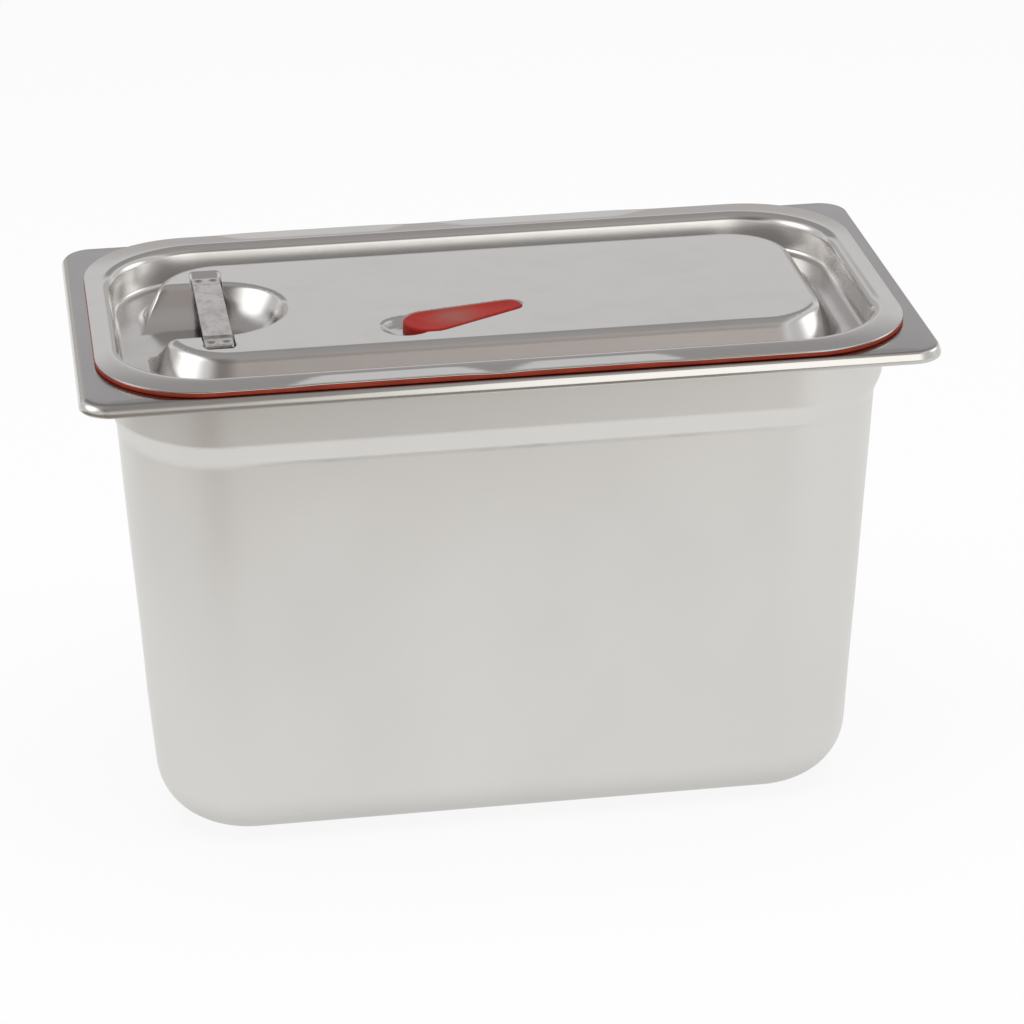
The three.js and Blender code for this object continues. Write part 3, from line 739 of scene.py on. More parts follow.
def flange_rings():
    """Rings out over the flange, round its cut edge and back on its underside."""
    shares = np.linspace(0, 1, FLANGE_ROWS + 1)[1:]
    upper = [flange_ring(share, flange_top, FLANGE_EDGE_ROUND) for share in shares]
    edge = []
    for angle in np.linspace(np.pi / 2, -np.pi / 2, FLANGE_EDGE_STEPS + 1)[1:-1]:
        inset = FLANGE_EDGE_ROUND * (1 - math.cos(angle))
        side = np.sign(round(angle, ANGLE_DIGITS))
        rise = FLANGE_EDGE_ROUND * math.sin(angle) + (LID_SHEET / 2 - FLANGE_EDGE_ROUND) * side
        edge.append(flange_ring(1.0, flange_top - LID_SHEET / 2 + rise, inset))
    lower = [ring - (0, 0, LID_SHEET) for ring in upper[::-1]]
    return upper + edge + lower


print("flange is", round(2 * flange_half_x, 1), "by", round(2 * flange_half_y, 1), "mm")

# %% The lid's mesh
VENT_PLUG_FROM_WIDE = 13.0
PLUG_HOLE_RADIUS = 5.0
STEM_HOLE_RADIUS = 2.65
OUTLINE_CLEARANCE = 1.0
HOLE_CLEARANCE = 0.3

upper_moat = moat_rings(0.0)[::-1]
lower_moat = moat_rings(LID_SHEET)
edge_rings = upper_moat + flange_rings() + lower_moat
edge_count = len(edge_rings[0])

plug_at, stem_at = vent_point(VENT_PLUG_FROM_WIDE), vent_point(VENT_SPAN)
holes = [circle(plug_at, PLUG_HOLE_RADIUS), circle(stem_at, STEM_HOLE_RADIUS)]
end_d, side_d = moat_walk(**END_WALL).d, moat_walk(**SIDE_WALL).d
moat_end = collar_half_x + end_d, collar_half_y + side_d, COLLAR_CORNER_RADIUS + end_d
inner = cell_points(*moat_end[:2])
inner = inner[beyond_rectangle(inner[:, 0], inner[:, 1], *moat_end) < -OUTLINE_CLEARANCE]
for hole in holes:
    inner = inner[outside_hole(inner, hole, HOLE_CLEARANCE)]
flat, triangles = fill(upper_moat[0][:, :2], holes, inner)
print("lid map", len(flat), "points", len(triangles), "triangles")

map_normals = lid_upright(*flat.T)
upper_face = at_height(flat, lid_height(*flat.T))
upper_face[:edge_count] = upper_moat[0]
map_normals[:edge_count] = (0, 0, 1)
lower_face = upper_face - LID_SHEET * map_normals
lower_face[:edge_count] = lower_moat[-1]

# %% Joining the lid's faces
skin = np.vstack(edge_rings)
count = len(flat)
skin_start = 2 * count
lid_points = np.vstack([upper_face, lower_face, skin])
triangles_low = triangles[:, ::-1] + count
skin_quads = skin_faces(len(edge_rings), edge_count, skin_start)
hole_quads = []
start = edge_count
for hole in holes:
    here = start + np.arange(len(hole))
    after = start + (np.arange(len(hole)) + 1) % len(hole)
    hole_quads.append(np.stack([here, after, after + count, here + count], 1))
    start += len(hole)
same = np.arange(len(lid_points))
same[skin_start:skin_start + edge_count] = np.arange(edge_count)
same[len(lid_points) - edge_count:] = count + np.arange(edge_count)
used, renumber = np.unique(same, return_inverse=True)
lid_groups = [renumber[group] for group in (triangles, triangles_low, skin_quads, *hole_quads)]
lid_normals = area_normals(lid_points, skin_quads)
lid_normals[:count], lid_normals[count:2 * count] = map_normals, -map_normals
lid = make_piece("lid_pressed", lid_points[used], lid_groups, lid_normals[used])
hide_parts("lid_shell")
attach(lid, "lid")

# %% [markdown]
# ## Strap handle
# The handle is a strip of steel across the scoop, joggled down at both ends and spot-welded into its
# seats. An array of boxes with a bevel would do from afar. Close by one sees round sheared edges and the
# two shallow weld marks at each end, so the strip is skinned from sections along its walk, and the marks
# are pressed into its points.

# %% The strap's walk
STRAP_THICKNESS = 1.5
STRAP_TAB = 7.2
STRAP_JOGGLE = 0.6
JOGGLE_INSIDE_RADIUS = 0.4
JOGGLE_TURN = 32.0
STRAP_EDGE_ROUND = 0.4
STRAP_TAB_STEPS, JOGGLE_INSIDE_STEPS, JOGGLE_OUTSIDE_STEPS, STRAP_SPAN_STEPS = 24, 5, 8, 40


def strap_walk():
    """The walk over the strip's upper face, between its two rounded ends."""
    outside = JOGGLE_INSIDE_RADIUS + STRAP_THICKNESS
    radii = JOGGLE_INSIDE_RADIUS + outside
    slant = wall_straight(STRAP_JOGGLE, JOGGLE_TURN, radii)
    span = 2 * (strap_half - STRAP_TAB - wall_run(STRAP_JOGGLE, JOGGLE_TURN, radii))
    tab = STRAP_TAB - STRAP_EDGE_ROUND
    inside_bend = JOGGLE_INSIDE_RADIUS, -JOGGLE_TURN, JOGGLE_INSIDE_STEPS
    outside_bend = outside, JOGGLE_TURN, JOGGLE_OUTSIDE_STEPS
    walk = SheetWalk(strap_half - STRAP_EDGE_ROUND, strap_high.z - STRAP_JOGGLE, 180)
    walk.line(tab, STRAP_TAB_STEPS).bend(*inside_bend).line(slant).bend(*outside_bend)
    walk.line(span, STRAP_SPAN_STEPS)
    return walk.bend(*outside_bend).line(slant).bend(*inside_bend).line(tab, STRAP_TAB_STEPS)


print("strap", round(2 * strap_half, 1), "by", round(strap_width, 1), "mm")

# %% The strap's section
STRAP_LEAST_ROUND = 0.03
STRAP_EDGE_STEPS = 6
STRAP_ACROSS = 30


def strap_section(inset):
    """Points round the strip's section, as places across it and depths in it."""
    radius = STRAP_EDGE_ROUND - inset + STRAP_LEAST_ROUND
    half, low = strap_width / 2 - inset - radius, STRAP_THICKNESS - inset - radius
    quarter = np.linspace(0, np.pi / 2, STRAP_EDGE_STEPS)
    upper = np.column_stack([half + radius * np.sin(quarter), inset + radius - radius * np.cos(quarter)])
    lower = np.column_stack([half + radius * np.cos(quarter), low + radius * np.sin(quarter)])
    right = np.vstack([upper, lower])
    across = np.linspace(-half, half, STRAP_ACROSS)[1:-1]
    top = np.column_stack([across, np.full(len(across), inset)])
    under = np.column_stack([across[::-1], np.full(len(across), low + radius)])
    return np.vstack([top, right, under, right[::-1] * (-1, 1)])


print("its section has", len(strap_section(0.0)), "points")

# %% Weld marks and rounded ends
WELD_FROM_END = 3.2
WELD_FROM_MIDDLE = 2.9
WELD_RADIUS = 1.7
WELD_DEPTH = 0.28
WELD_POWER = 1.5
STRAP_END_STEPS = 4


def weld_mark(across, along):
    """How deep the two spot welds at each end have sunk the surface."""
    depth = np.zeros_like(along)
    for side in (-1, 1):
        away = np.hypot(across - side * WELD_FROM_MIDDLE, np.abs(along) - strap_half + WELD_FROM_END)
        depth = np.maximum(depth, np.clip(1 - (away / WELD_RADIUS) ** 2, 0, 1))
    return WELD_DEPTH * depth ** WELD_POWER


def strap_stations():
    """Marks along the strip and how far its section is drawn in there, which rounds the two ends."""
    marks = strap_walk().marks
    ends = []
    for angle in np.linspace(0, np.pi / 2, STRAP_END_STEPS + 1)[:-1]:
        ends.append((STRAP_EDGE_ROUND * math.cos(angle), STRAP_EDGE_ROUND * (1 - math.sin(angle))))
    d, z, heading = marks[0]
    first = [((d + out, z, heading), inset) for out, inset in ends]
    d, z, heading = marks[-1]
    last = [((d - out, z, heading), inset) for out, inset in ends[::-1]]
    return first + [(mark, 0.0) for mark in marks] + last


stations = strap_stations()
print("strap has", len(stations), "stations along it")

# %% The strap's mesh
STRAP_WAVES = ((60, 34, 0.5, 0.05), (-31, 22, 1.1, 0.03))
STRAP_SINK = sum(wave[-1] for wave in STRAP_WAVES)

sections = []
for (d, z, heading), inset in stations:
    section = strap_section(inset)
    lean = math.radians(heading)
    y = d - section[:, 1] * math.sin(lean)
    height = z + section[:, 1] * math.cos(lean)
    upper = section[:, 1] < STRAP_THICKNESS / 2
    height -= np.where(upper, weld_mark(section[:, 0], y), 0)
    height += ripple(section[:, 0], y, STRAP_WAVES) - STRAP_SINK
    sections.append(np.column_stack([scoop_x + section[:, 0], y, height]))
strap_points = np.vstack(sections)
strap_count = len(sections[0])
strap_groups = skin_faces(len(sections), strap_count), end_caps(len(strap_points), strap_count)
strap = make_piece("lid_strap", strap_points, strap_groups)
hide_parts("lid_handle")
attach(strap, "lid")

# %% [markdown]
# ## Seal
# The seal is a moulded silicone ring that is stretched round the lid: a web that is squeezed between
# flange and rim, and a skirt with two lips that wipe the pan's collar. It shows as a thin red line. A
# swept curve would give it a round section. Rings give it the moulded one, and its web follows the flange
# above it.

# %% The seal's section
SEAL_SKIRT = 1.6
SEAL_LIPS = 2
SEAL_LIP_HEIGHT = 1.8
SEAL_LIP_PITCH = 4.0
SEAL_SQUEEZE = 0.04
SEAL_SAG = 0.1
SEAL_PROUD = 0.15
SEAL_EDGE_ROUND = 0.5
SEAL_FILLET = 0.6
SEAL_LIP_POWER = 1.5
SEAL_WEB_STEPS, SEAL_EDGE_STEPS, SEAL_LIP_STEPS = 6, 10, 8

seal_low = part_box("lid_seal")[0].z / MM
web_under = pan_height + SEAL_SQUEEZE


def seal_rings():
    """Rings round the seal's section: over the web, in below it, down the lips and up the moat's wall."""
    top = flange_top - LID_SHEET - SEAL_SQUEEZE
    shares = np.linspace(0, 1, SEAL_WEB_STEPS + 1)
    rings = [flange_ring(share, top, SEAL_EDGE_ROUND - SEAL_PROUD) for share in shares]
    for angle in np.linspace(np.pi / 2, -np.pi / 2, SEAL_EDGE_STEPS + 1)[1:]:
        edge = flange_ring(1.0, top, SEAL_EDGE_ROUND * (1 - math.cos(angle)) - SEAL_PROUD)
        high, low = edge[:, 2] - SEAL_EDGE_ROUND, web_under - SEAL_SAG + SEAL_EDGE_ROUND
        edge[:, 2] = (high if angle > 0 else low) + SEAL_EDGE_ROUND * math.sin(angle)
        rings.append(edge)
    wall = [(d, z) for d, z in moat_levels(LID_SHEET + FIT_GAP) if z.min() > seal_low]
    inner_d = wall[-1][0]
    lean = (wall[0][0] - inner_d) / (wall[0][1] - wall[-1][1])

    def outer_d(z):
        return np.minimum(inner_d + SEAL_SKIRT + lean * (z - seal_low), -SEAL_FILLET - FIT_GAP)

    rings += [collar_ring(outer_d(web_under) + SEAL_FILLET, web_under),
              collar_ring(outer_d(web_under), web_under - SEAL_FILLET)]
    for lip in reversed(range(SEAL_LIPS)):
        foot = seal_low + lip * SEAL_LIP_PITCH
        for angle in np.linspace(0, np.pi, SEAL_LIP_STEPS + 1):
            z = foot + SEAL_LIP_HEIGHT * (1 + math.cos(angle)) / 2
            reach = (-FIT_GAP - outer_d(z)) * math.sin(angle) ** SEAL_LIP_POWER
            rings.append(collar_ring(outer_d(z) + reach, z))
    rings.append(collar_ring(inner_d, seal_low))
    return rings + [collar_ring(d, z) for d, z in wall[::-1][:-1]]


rings = seal_rings()
print("seal has", len(rings), "rings")

# %% The seal's mesh
seal_points = np.vstack(rings)
seal = make_piece("seal_ring", seal_points, [skin_faces(len(rings), len(rings[0]), closed=True)])
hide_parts("lid_seal")
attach(seal, "lid")

# %% [markdown]
# ## Vent tab
# The vent tab is one silicone moulding: a teardrop with a plug that closes the vent hole, and a stem with
# a button that holds its narrow end in the lid. The wide end is lifted and the moulding bends. Two rigid
# pieces with a hinge would show a gap, so the tab is one closed mesh with points all over its faces.

# %% Outline of the tab
WIDE_STEPS, NARROW_STEPS, FLANK_STEPS = 40, 22, 30
TAB_GRID = 1.3


def tab_outline(inset):
    """A teardrop round two circles on the vent's axis, anticlockwise."""
    wide, narrow = VENT_WIDE_RADIUS - inset, VENT_NARROW_RADIUS - inset
    lean = math.asin((wide - narrow) / VENT_SPAN)
    quarter = np.pi / 2
    turn = math.atan2(vent_along[1], vent_along[0])

    def arc(along, radius, first, last, steps):
        angle = np.linspace(first, last, steps + 1) + turn
        return vent_point(along) + radius * np.column_stack([np.cos(angle), np.sin(angle)])

    tip = arc(VENT_SPAN, narrow, lean - quarter, quarter - lean, NARROW_STEPS)
    bow = arc(0.0, wide, quarter - lean, 3 * quarter + lean, WIDE_STEPS)
    share = np.linspace(0, 1, FLANK_STEPS + 1)[1:-1, None]
    flanks = [first[-1] + share * (second[0] - first[-1]) for first, second in ((tip, bow), (bow, tip))]
    return np.vstack([tip, flanks[0], bow, flanks[1]])


def tab_grid(inset, holes):
    """Points inside the tab's outline and outside its holes."""
    along = np.arange(-VENT_WIDE_RADIUS, VENT_SPAN + VENT_NARROW_RADIUS, TAB_GRID)
    across = np.arange(-VENT_WIDE_RADIUS, VENT_WIDE_RADIUS, TAB_GRID)
    along, across = (grid.reshape(-1, 1) for grid in np.meshgrid(along, across))
    points = vent_wide + along * vent_along + across * vent_across
    points = points[beyond_tab(*points.T, -inset) < -TAB_GRID / 2]
    for hole in holes:
        points = points[outside_hole(points, hole, TAB_GRID / 2)]
    return points


print("tab's outline has", len(tab_outline(0.0)), "points")

# %% Sections of the tab, its plug and its stem
TAB_TOP_ROUND = 0.9
TAB_LOW_ROUND = 0.4
PLUG_RADIUS = 4.4
PLUG_TAPER = 0.5
PLUG_DEPTH = 2.4
STEM_RADIUS = 2.4
BUTTON_RADIUS = 4.2
BUTTON_HEIGHT = 1.4
POST_ROUND = 0.3
POST_ROUND_STEPS, TAB_TOP_STEPS, TAB_LOW_STEPS = 4, 7, 5

vent_under = vent_top - VENT_THICKNESS
plug_end = vent_under - PLUG_DEPTH
button_top = recess_floor - LID_SHEET - FIT_GAP
button_end = button_top - BUTTON_HEIGHT
plug_profile = [(PLUG_RADIUS + POST_ROUND, vent_under), (PLUG_RADIUS, vent_under - POST_ROUND)]
for angle in np.linspace(0, np.pi / 2, POST_ROUND_STEPS + 1):
    plug_profile.append((PLUG_RADIUS - PLUG_TAPER - POST_ROUND * (1 - math.cos(angle)),
                         plug_end + POST_ROUND * (1 - math.sin(angle))))
stem_profile = [(STEM_RADIUS, vent_under), (STEM_RADIUS, button_top),
                (BUTTON_RADIUS - POST_ROUND, button_top), (BUTTON_RADIUS, button_top - POST_ROUND),
                (STEM_RADIUS + POST_ROUND, button_end + POST_ROUND), (STEM_RADIUS, button_end)]
tab_rings = []
for angle in np.linspace(np.pi / 2, 0, TAB_TOP_STEPS + 1):
    outline = tab_outline(TAB_TOP_ROUND * (1 - math.cos(angle)))
    tab_rings.append(at_height(outline, vent_top - TAB_TOP_ROUND * (1 - math.sin(angle))))
for angle in np.linspace(0, -np.pi / 2, TAB_LOW_STEPS + 1):
    outline = tab_outline(TAB_LOW_ROUND * (1 - math.cos(angle)))
    tab_rings.append(at_height(outline, vent_under + TAB_LOW_ROUND * (1 + math.sin(angle))))
posts = []
for centre, profile in ((plug_at, plug_profile), (stem_at, stem_profile)):
    posts.append([at_height(circle(centre, radius), z) for radius, z in profile])
print("tab", len(tab_rings), "rings, plug and stem", [len(post) for post in posts], "rings")

# %% The tab's mesh
TAB_DISH = 0.16
TAB_DISH_RUN = 4.0
BEND_FROM_NARROW = 2.5
BEND_TO_NARROW = 7.5

post_holes = [post[0][:, :2] for post in posts]
top_flat, top_faces = fill(tab_rings[0][:, :2], [], tab_grid(TAB_TOP_ROUND, []))
low_flat, low_faces = fill(tab_rings[-1][:, :2], post_holes, tab_grid(TAB_LOW_ROUND, post_holes))
share = np.clip(-beyond_tab(*top_flat.T, -TAB_TOP_ROUND) / TAB_DISH_RUN, 0, 1)
top_face = at_height(top_flat, vent_top - TAB_DISH * share * share * (3 - 2 * share))

count, hole_count = len(tab_rings[0]), len(post_holes[0])
last_ring = (len(tab_rings) - 1) * count
low_face = at_height(low_flat[count + len(posts) * hole_count:], vent_under)
blocks = [np.vstack(tab_rings), top_face[count:], low_face, *(np.vstack(post) for post in posts)]
starts = np.cumsum([0] + [len(block) for block in blocks])
top_index = np.concatenate([np.arange(count), np.arange(starts[1], starts[2])])
low_index = np.concatenate([last_ring + np.arange(count), starts[3] + np.arange(hole_count),
                            starts[4] + np.arange(hole_count), np.arange(starts[2], starts[3])])
tab_points = np.vstack(blocks)
tab_groups = [skin_faces(len(tab_rings), count), top_index[top_faces], low_index[low_faces][:, ::-1]]
for post, start, end in zip(posts, starts[3:], starts[4:]):
    tab_groups += [skin_faces(len(post), hole_count, start), end_caps(end, hole_count)[1:]]
tab = make_piece("vent_tab", tab_points, tab_groups)
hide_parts("vent_flap", "vent_anchor")
for away in (BEND_FROM_NARROW, BEND_TO_NARROW):
    np.append(vent_point(VENT_SPAN - away), vent_top) * MM
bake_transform(tab)
print("tab bends over", BEND_TO_NARROW - BEND_FROM_NARROW, "mm")

# %% [markdown]
# ## Shader sums as Python
# A finish is a tree of nodes. Drawn by hand it is quick to change and hard to read. Written out call by
# call it is long. A small class that wraps one socket lets a finish read like a formula: sums of wires
# add Math nodes, and one method adds any other node with its settings and sockets.

# %% One class for wires
class Wire:
    """A socket of a node tree. Sums add Math nodes, and node() adds any other node."""

    def __init__(self, tree, socket=None):
        self.tree, self.socket = tree, socket

    def find(self, sockets, key):
        """A socket by its number, identifier or name."""
        if isinstance(key, int):
            return sockets[key]
        known = {socket.identifier: socket for socket in sockets}
        return known.get(key) or sockets[key]

    def node(self, kind, settings=None, sockets=None, output=0):
        """A new node of that kind, as a wire from one of its outputs."""
        made = self.tree.nodes.new("ShaderNode" + kind)
        for name, value in (settings or {}).items():
            if name == "stops":
                ramp = made.color_ramp.elements
                while len(ramp) < len(value):
                    ramp.new(1.0)
                for stop, (place, shade) in zip(ramp, value):
                    stop.position, stop.color = place, (*shade, 1.0)
            else:
                setattr(made, name, value)
        for name, value in (sockets or {}).items():
            socket = self.find(made.inputs, name)
            if isinstance(value, Wire):
                self.tree.links.new(value.socket, socket)
            else:
                socket.default_value = value
        return Wire(self.tree, self.find(made.outputs, output) if made.outputs else None)

    def __getitem__(self, output):
        """Another output of the same node."""
        return Wire(self.tree, self.find(self.socket.node.outputs, output))

    def sum(self, operation, first, second):
        return self.node("Math", {"operation": operation}, {0: first, 1: second})

    def __add__(self, other):
        return self.sum("ADD", self, other)

    def __sub__(self, other):
        return self.sum("SUBTRACT", self, other)

    def __rsub__(self, other):
        return self.sum("SUBTRACT", other, self)

    def __mul__(self, other):
        return self.sum("MULTIPLY", self, other)

    def __abs__(self):
        return self.sum("ABSOLUTE", self, 0.0)

    __radd__, __rmul__ = __add__, __mul__


# %% Patterns for finishes
NOISE_MIDDLE = 0.5


def new_finish(name):
    """A new material without nodes, and a wire to build its tree with."""
    material = bpy.data.materials.new(name)
    material.use_nodes = True
    material.node_tree.nodes.clear()
    return material, Wire(material.node_tree)


def spot_on(wire):
    return wire.node("TexCoord", {}, {}, "Object")


def stretched(wire, scale):
    """Object coordinates, stretched: a large number makes the pattern fine along that axis."""
    return wire.node("Mapping", {}, {"Vector": spot_on(wire), "Scale": scale})


def noise(wire, scale, detail=2.0, rough=0.5):
    """Cloudy noise from about 0 to 1, with a scale per metre along each axis."""
    sockets = {"Vector": stretched(wire, scale), "Scale": 1.0, "Detail": detail, "Roughness": rough}
    return wire.node("TexNoise", {}, sockets, "Fac")


def swing(value, size):
    """Noise as a swing to both sides of 0."""
    return (value - NOISE_MIDDLE) * size


def eased(value, low, high):
    """0 below low, 1 above high, and smooth between them."""
    sockets = {"Value": value, "From Min": low, "From Max": high}
    return value.node("MapRange", {"interpolation_type": "SMOOTHSTEP"}, sockets)


def place(wire):
    """The x, y and z of a spot on the object, in metres."""
    xyz = wire.node("SeparateXYZ", {}, {"Vector": spot_on(wire)})
    return xyz["X"], xyz["Y"], xyz["Z"]


def distance(first, second):
    return first.node("VectorMath", {"operation": "DISTANCE"}, {0: first, 1: second}, "Value")


# %% Colours and surfaces for finishes
BUMP_DISTANCE = 0.0001


def mixed(factor, first, second):
    """A mix of two colours."""
    sockets = {"Factor_Float": factor, "A_Color": first, "B_Color": second}
    return factor.node("Mix", {"data_type": "RGBA"}, sockets, "Result_Color")


def bumped(height, strength):
    """Normals of a surface that is very slightly uneven."""
    return height.node("Bump", {}, {"Strength": strength, "Distance": BUMP_DISTANCE, "Height": height})


def end_in(surface):
    surface.node("OutputMaterial", {}, {"Surface": surface})


def dress(piece, material, wire, sockets):
    """Ends a finish in one shader with those sockets, and puts it on a piece."""
    end_in(wire.node("BsdfPrincipled", {}, sockets))
    piece.data.materials.append(material)
    print(material.name, "has", len(material.node_tree.nodes), "nodes")


def rgba(red, green, blue):
    return red, green, blue, 1.0


# %% [markdown]
# ## Pan steel
# The pan's wall is satin: a fine grain that runs round it and cloudy patches from the drawing oil, with
# a thin, dashed, darker line along the shoulder's foot. Round the floor's edge a painted shade darkens
# it. Its rim and lip are shinier. The rim's flat top and the lip's left end are darkened by painted
# shade for the dim reflections there, and the lip's left end is also rougher. Two materials with a
# seam would show a line, so one material changes with height.

# %% Patterns on the pan
PAN_GRAIN = (45.0, 45.0, 2600.0), 3.0
PAN_CLOUDS = (13.0, 13.0, 9.0), 3.0
DRAW_LINES = (420.0, 420.0, 9.0), 2.0
DARK_LINE_DASHES = (34.0, 34.0, 260.0), 3.0, 0.65
DASH_FADE = 0.5, 0.68
DASH_LEAST = 0.35
DARK_LINE_FROM, DARK_LINE_TO = (-0.0018, -0.0006), (0.0002, 0.001)
DARK_LINE_REACH = 0.13

finish, wire = new_finish("satin_pan_steel")
x, _, height = place(wire)
grain = noise(wire, *PAN_GRAIN)
clouds = noise(wire, *PAN_CLOUDS)
draw_lines = noise(wire, *DRAW_LINES)
# A thin darker line in dashes along the shoulder's foot, fading out towards the pan's ends.
dashes = DASH_LEAST + eased(noise(wire, *DARK_LINE_DASHES), *DASH_FADE) * (1 - DASH_LEAST)
from_shoulder = height - shoulder_foot * MM
dark_line = dashes * eased(from_shoulder, *DARK_LINE_FROM) * (1 - eased(from_shoulder, *DARK_LINE_TO))
dark_line = dark_line * (1 - eased(x * x, 0.0, DARK_LINE_REACH ** 2))
print("darker dashes run at", round(shoulder_foot, 1), "mm")

# %% Satin steel
PAN_STEEL = rgba(0.7, 0.686, 0.662)
PAN_STEEL_DULL = rgba(0.665, 0.651, 0.629)
LIP_STEEL = rgba(0.57, 0.558, 0.54)
RIM_SHADED_STEEL = rgba(0.35, 0.341, 0.339)
LIP_SHADED_STEEL = rgba(0.42, 0.405, 0.388)
FOOT_SHADE_STEEL = rgba(0.53, 0.515, 0.497)
DARK_LINE_STEEL = rgba(0.34, 0.325, 0.31)
WALL_ROUGHNESS = 0.4
RIM_ROUGHNESS = 0.17
LIP_DULL_ROUGHNESS = 0.36
LIP_DULL_SHADE_FROM, LIP_DULL_SHADE_TO = (-0.157, -0.149), (-0.13, 0.03)
LIP_FADE = 0.1935, 0.1955
RIM_FADE = 0.1993, 0.1997
DARK_LINE_SHARE = 0.45
FOOT_SHADE_HEIGHT = 0.022
PAN_CLOUD_FADE = 0.25, 0.85
CLOUD_SWING, GRAIN_SWING = 0.05, 0.08
PAN_BUMP = 0.06
GRAIN_IN_BUMP = 0.6

bright = eased(height, *LIP_FADE)
on_rim = eased(height, *RIM_FADE)
# Painted shade: the lip's left end is darker, for a dim reflection there, and also rougher.
dull_and_shaded = eased(x, *LIP_DULL_SHADE_FROM) * (1 - eased(x, *LIP_DULL_SHADE_TO))
shade = mixed(eased(clouds, *PAN_CLOUD_FADE), PAN_STEEL, PAN_STEEL_DULL)
shade = mixed(dark_line * DARK_LINE_SHARE, shade, DARK_LINE_STEEL)
# Painted shade: the wall darkens towards the floor's edge, near the floor.
shade = mixed(1 - eased(height, 0.0, FOOT_SHADE_HEIGHT), shade, FOOT_SHADE_STEEL)
# The lip band, with painted shade at its left end.
shade = mixed(bright, shade, mixed(dull_and_shaded, LIP_STEEL, LIP_SHADED_STEEL))
# Painted shade: the rim's flat top is much darker, for the dim reflection it shows.
shade = mixed(on_rim, shade, RIM_SHADED_STEEL)
roughness = WALL_ROUGHNESS + swing(clouds, CLOUD_SWING) + swing(grain, GRAIN_SWING)
duller = dull_and_shaded * (1 - on_rim) * (LIP_DULL_ROUGHNESS - RIM_ROUGHNESS)
roughness = roughness - bright * (WALL_ROUGHNESS - RIM_ROUGHNESS - duller)
lines = grain * GRAIN_IN_BUMP + draw_lines * (1 - GRAIN_IN_BUMP)
bump = bumped(lines * (1 - bright), PAN_BUMP)
dress(pan, finish, wire, {"Base Color": shade, "Metallic": 1.0, "Roughness": roughness, "Normal": bump})

# %% [markdown]
# ## Lid steel
# The lid is bright rolled sheet. Its grain runs along the lid, so mirror images are drawn out a little
# across it. Anisotropy would do that, but needs a direction at every spot of the mesh. A fine bump that
# is much longer than wide does the same, and an export can bake it. Hands have left faint smudges, and
# the sheet is a little duller below the flats, where the press has stretched it.

# %% Bright steel
LID_STEEL = rgba(0.575, 0.562, 0.552)
LID_STEEL_SMUDGED = rgba(0.54, 0.527, 0.515)
LID_ROUGHNESS = 0.075
DRAWN_ROUGHNESS = 0.19
DRAWN_FADE = 0.199, 0.2018
LID_GRAIN = (28.0, 3200.0, 900.0), 3.0
LID_SMUDGES = (34.0, 52.0, 40.0), 4.0, 0.62
SMUDGE_FADE, SMUDGE_DULL_FADE = (0.42, 0.8), (0.4, 0.75)
LID_SPECKS = (700.0, 700.0, 700.0), 2.0
SPECK_FADE = 0.68, 0.76
SMUDGE_SHARE, SPECK_SHARE = 0.55, 0.25
SMUDGE_DULL, LID_GRAIN_SWING = 0.03, 0.03
LID_BUMP = 0.025

finish, wire = new_finish("bright_lid_steel")
grain = noise(wire, *LID_GRAIN)
smudges = noise(wire, *LID_SMUDGES)
specks = eased(noise(wire, *LID_SPECKS), *SPECK_FADE)
drawn = 1 - eased(place(wire)[2], *DRAWN_FADE)
soiled = eased(smudges, *SMUDGE_FADE) * SMUDGE_SHARE + specks * SPECK_SHARE
shade = mixed(soiled, LID_STEEL, LID_STEEL_SMUDGED)
roughness = LID_ROUGHNESS + eased(smudges, *SMUDGE_DULL_FADE) * SMUDGE_DULL + swing(grain, LID_GRAIN_SWING)
roughness = roughness + drawn * (DRAWN_ROUGHNESS - LID_ROUGHNESS)
bump = bumped(grain * (1 - drawn), LID_BUMP)
dress(lid, finish, wire, {"Base Color": shade, "Metallic": 1.0, "Roughness": roughness, "Normal": bump})

# %% [markdown]
# ## Strap steel
# The strap is cut from brushed strip and takes the wear: its grain runs along it, it is mottled by
# fingers, and the heat of the spot welds has left dull brown smudges at its ends. A painted shade darkens
# the two joggles.

# %% Brushed strap
STRAP_STEEL = rgba(0.59, 0.575, 0.565)
STRAP_MOTTLE = rgba(0.44, 0.425, 0.415)
# Brown for the weld tint, also used for the painted shade in the joggles.
WELD_TINT_AND_SHADE = rgba(0.2, 0.17, 0.145)
WELD_SHARE = 0.6
WELD_CORE, WELD_HALO = 0.0008, 1.25
WELD_SWING = 0.0012
JOGGLE_SHADE_HALF = 1.6
JOGGLE_SHADE_FROM_TAB = 1.0
JOGGLE_SHADE_LEAST, JOGGLE_SHADE_SHARE = 0.45, 0.7
STRAP_GRAIN = (2600.0, 40.0, 900.0), 3.0
STRAP_CLOUDS = (240.0, 150.0, 200.0), 4.0, 0.6
MOTTLE_FADE, JOGGLE_SHADE_FADE = (0.4, 0.72), (0.38, 0.6)
STRAP_ROUGHNESS, MOTTLE_SWING, STRAP_GRAIN_SWING = 0.24, 0.18, 0.1
STRAP_BUMP = 0.12

finish, wire = new_finish("brushed_strap_steel")
x, y, _ = place(wire)
grain = noise(wire, *STRAP_GRAIN)
mottle = noise(wire, *STRAP_CLOUDS)
from_above = wire.node("CombineXYZ", {}, {"X": x, "Y": y})
welds = 0.0
for side_x, side_y in QUADRANTS:
    weld_x, weld_y = scoop_x + side_x * WELD_FROM_MIDDLE, side_y * (strap_half - WELD_FROM_END)
    away = distance(from_above, (weld_x * MM, weld_y * MM, 0.0)) + swing(mottle, WELD_SWING)
    welds = welds + (1 - eased(away, WELD_CORE, WELD_RADIUS * MM * WELD_HALO))
shade = mixed(eased(mottle, *MOTTLE_FADE), STRAP_STEEL, STRAP_MOTTLE)
shade = mixed(welds * WELD_SHARE, shade, WELD_TINT_AND_SHADE)
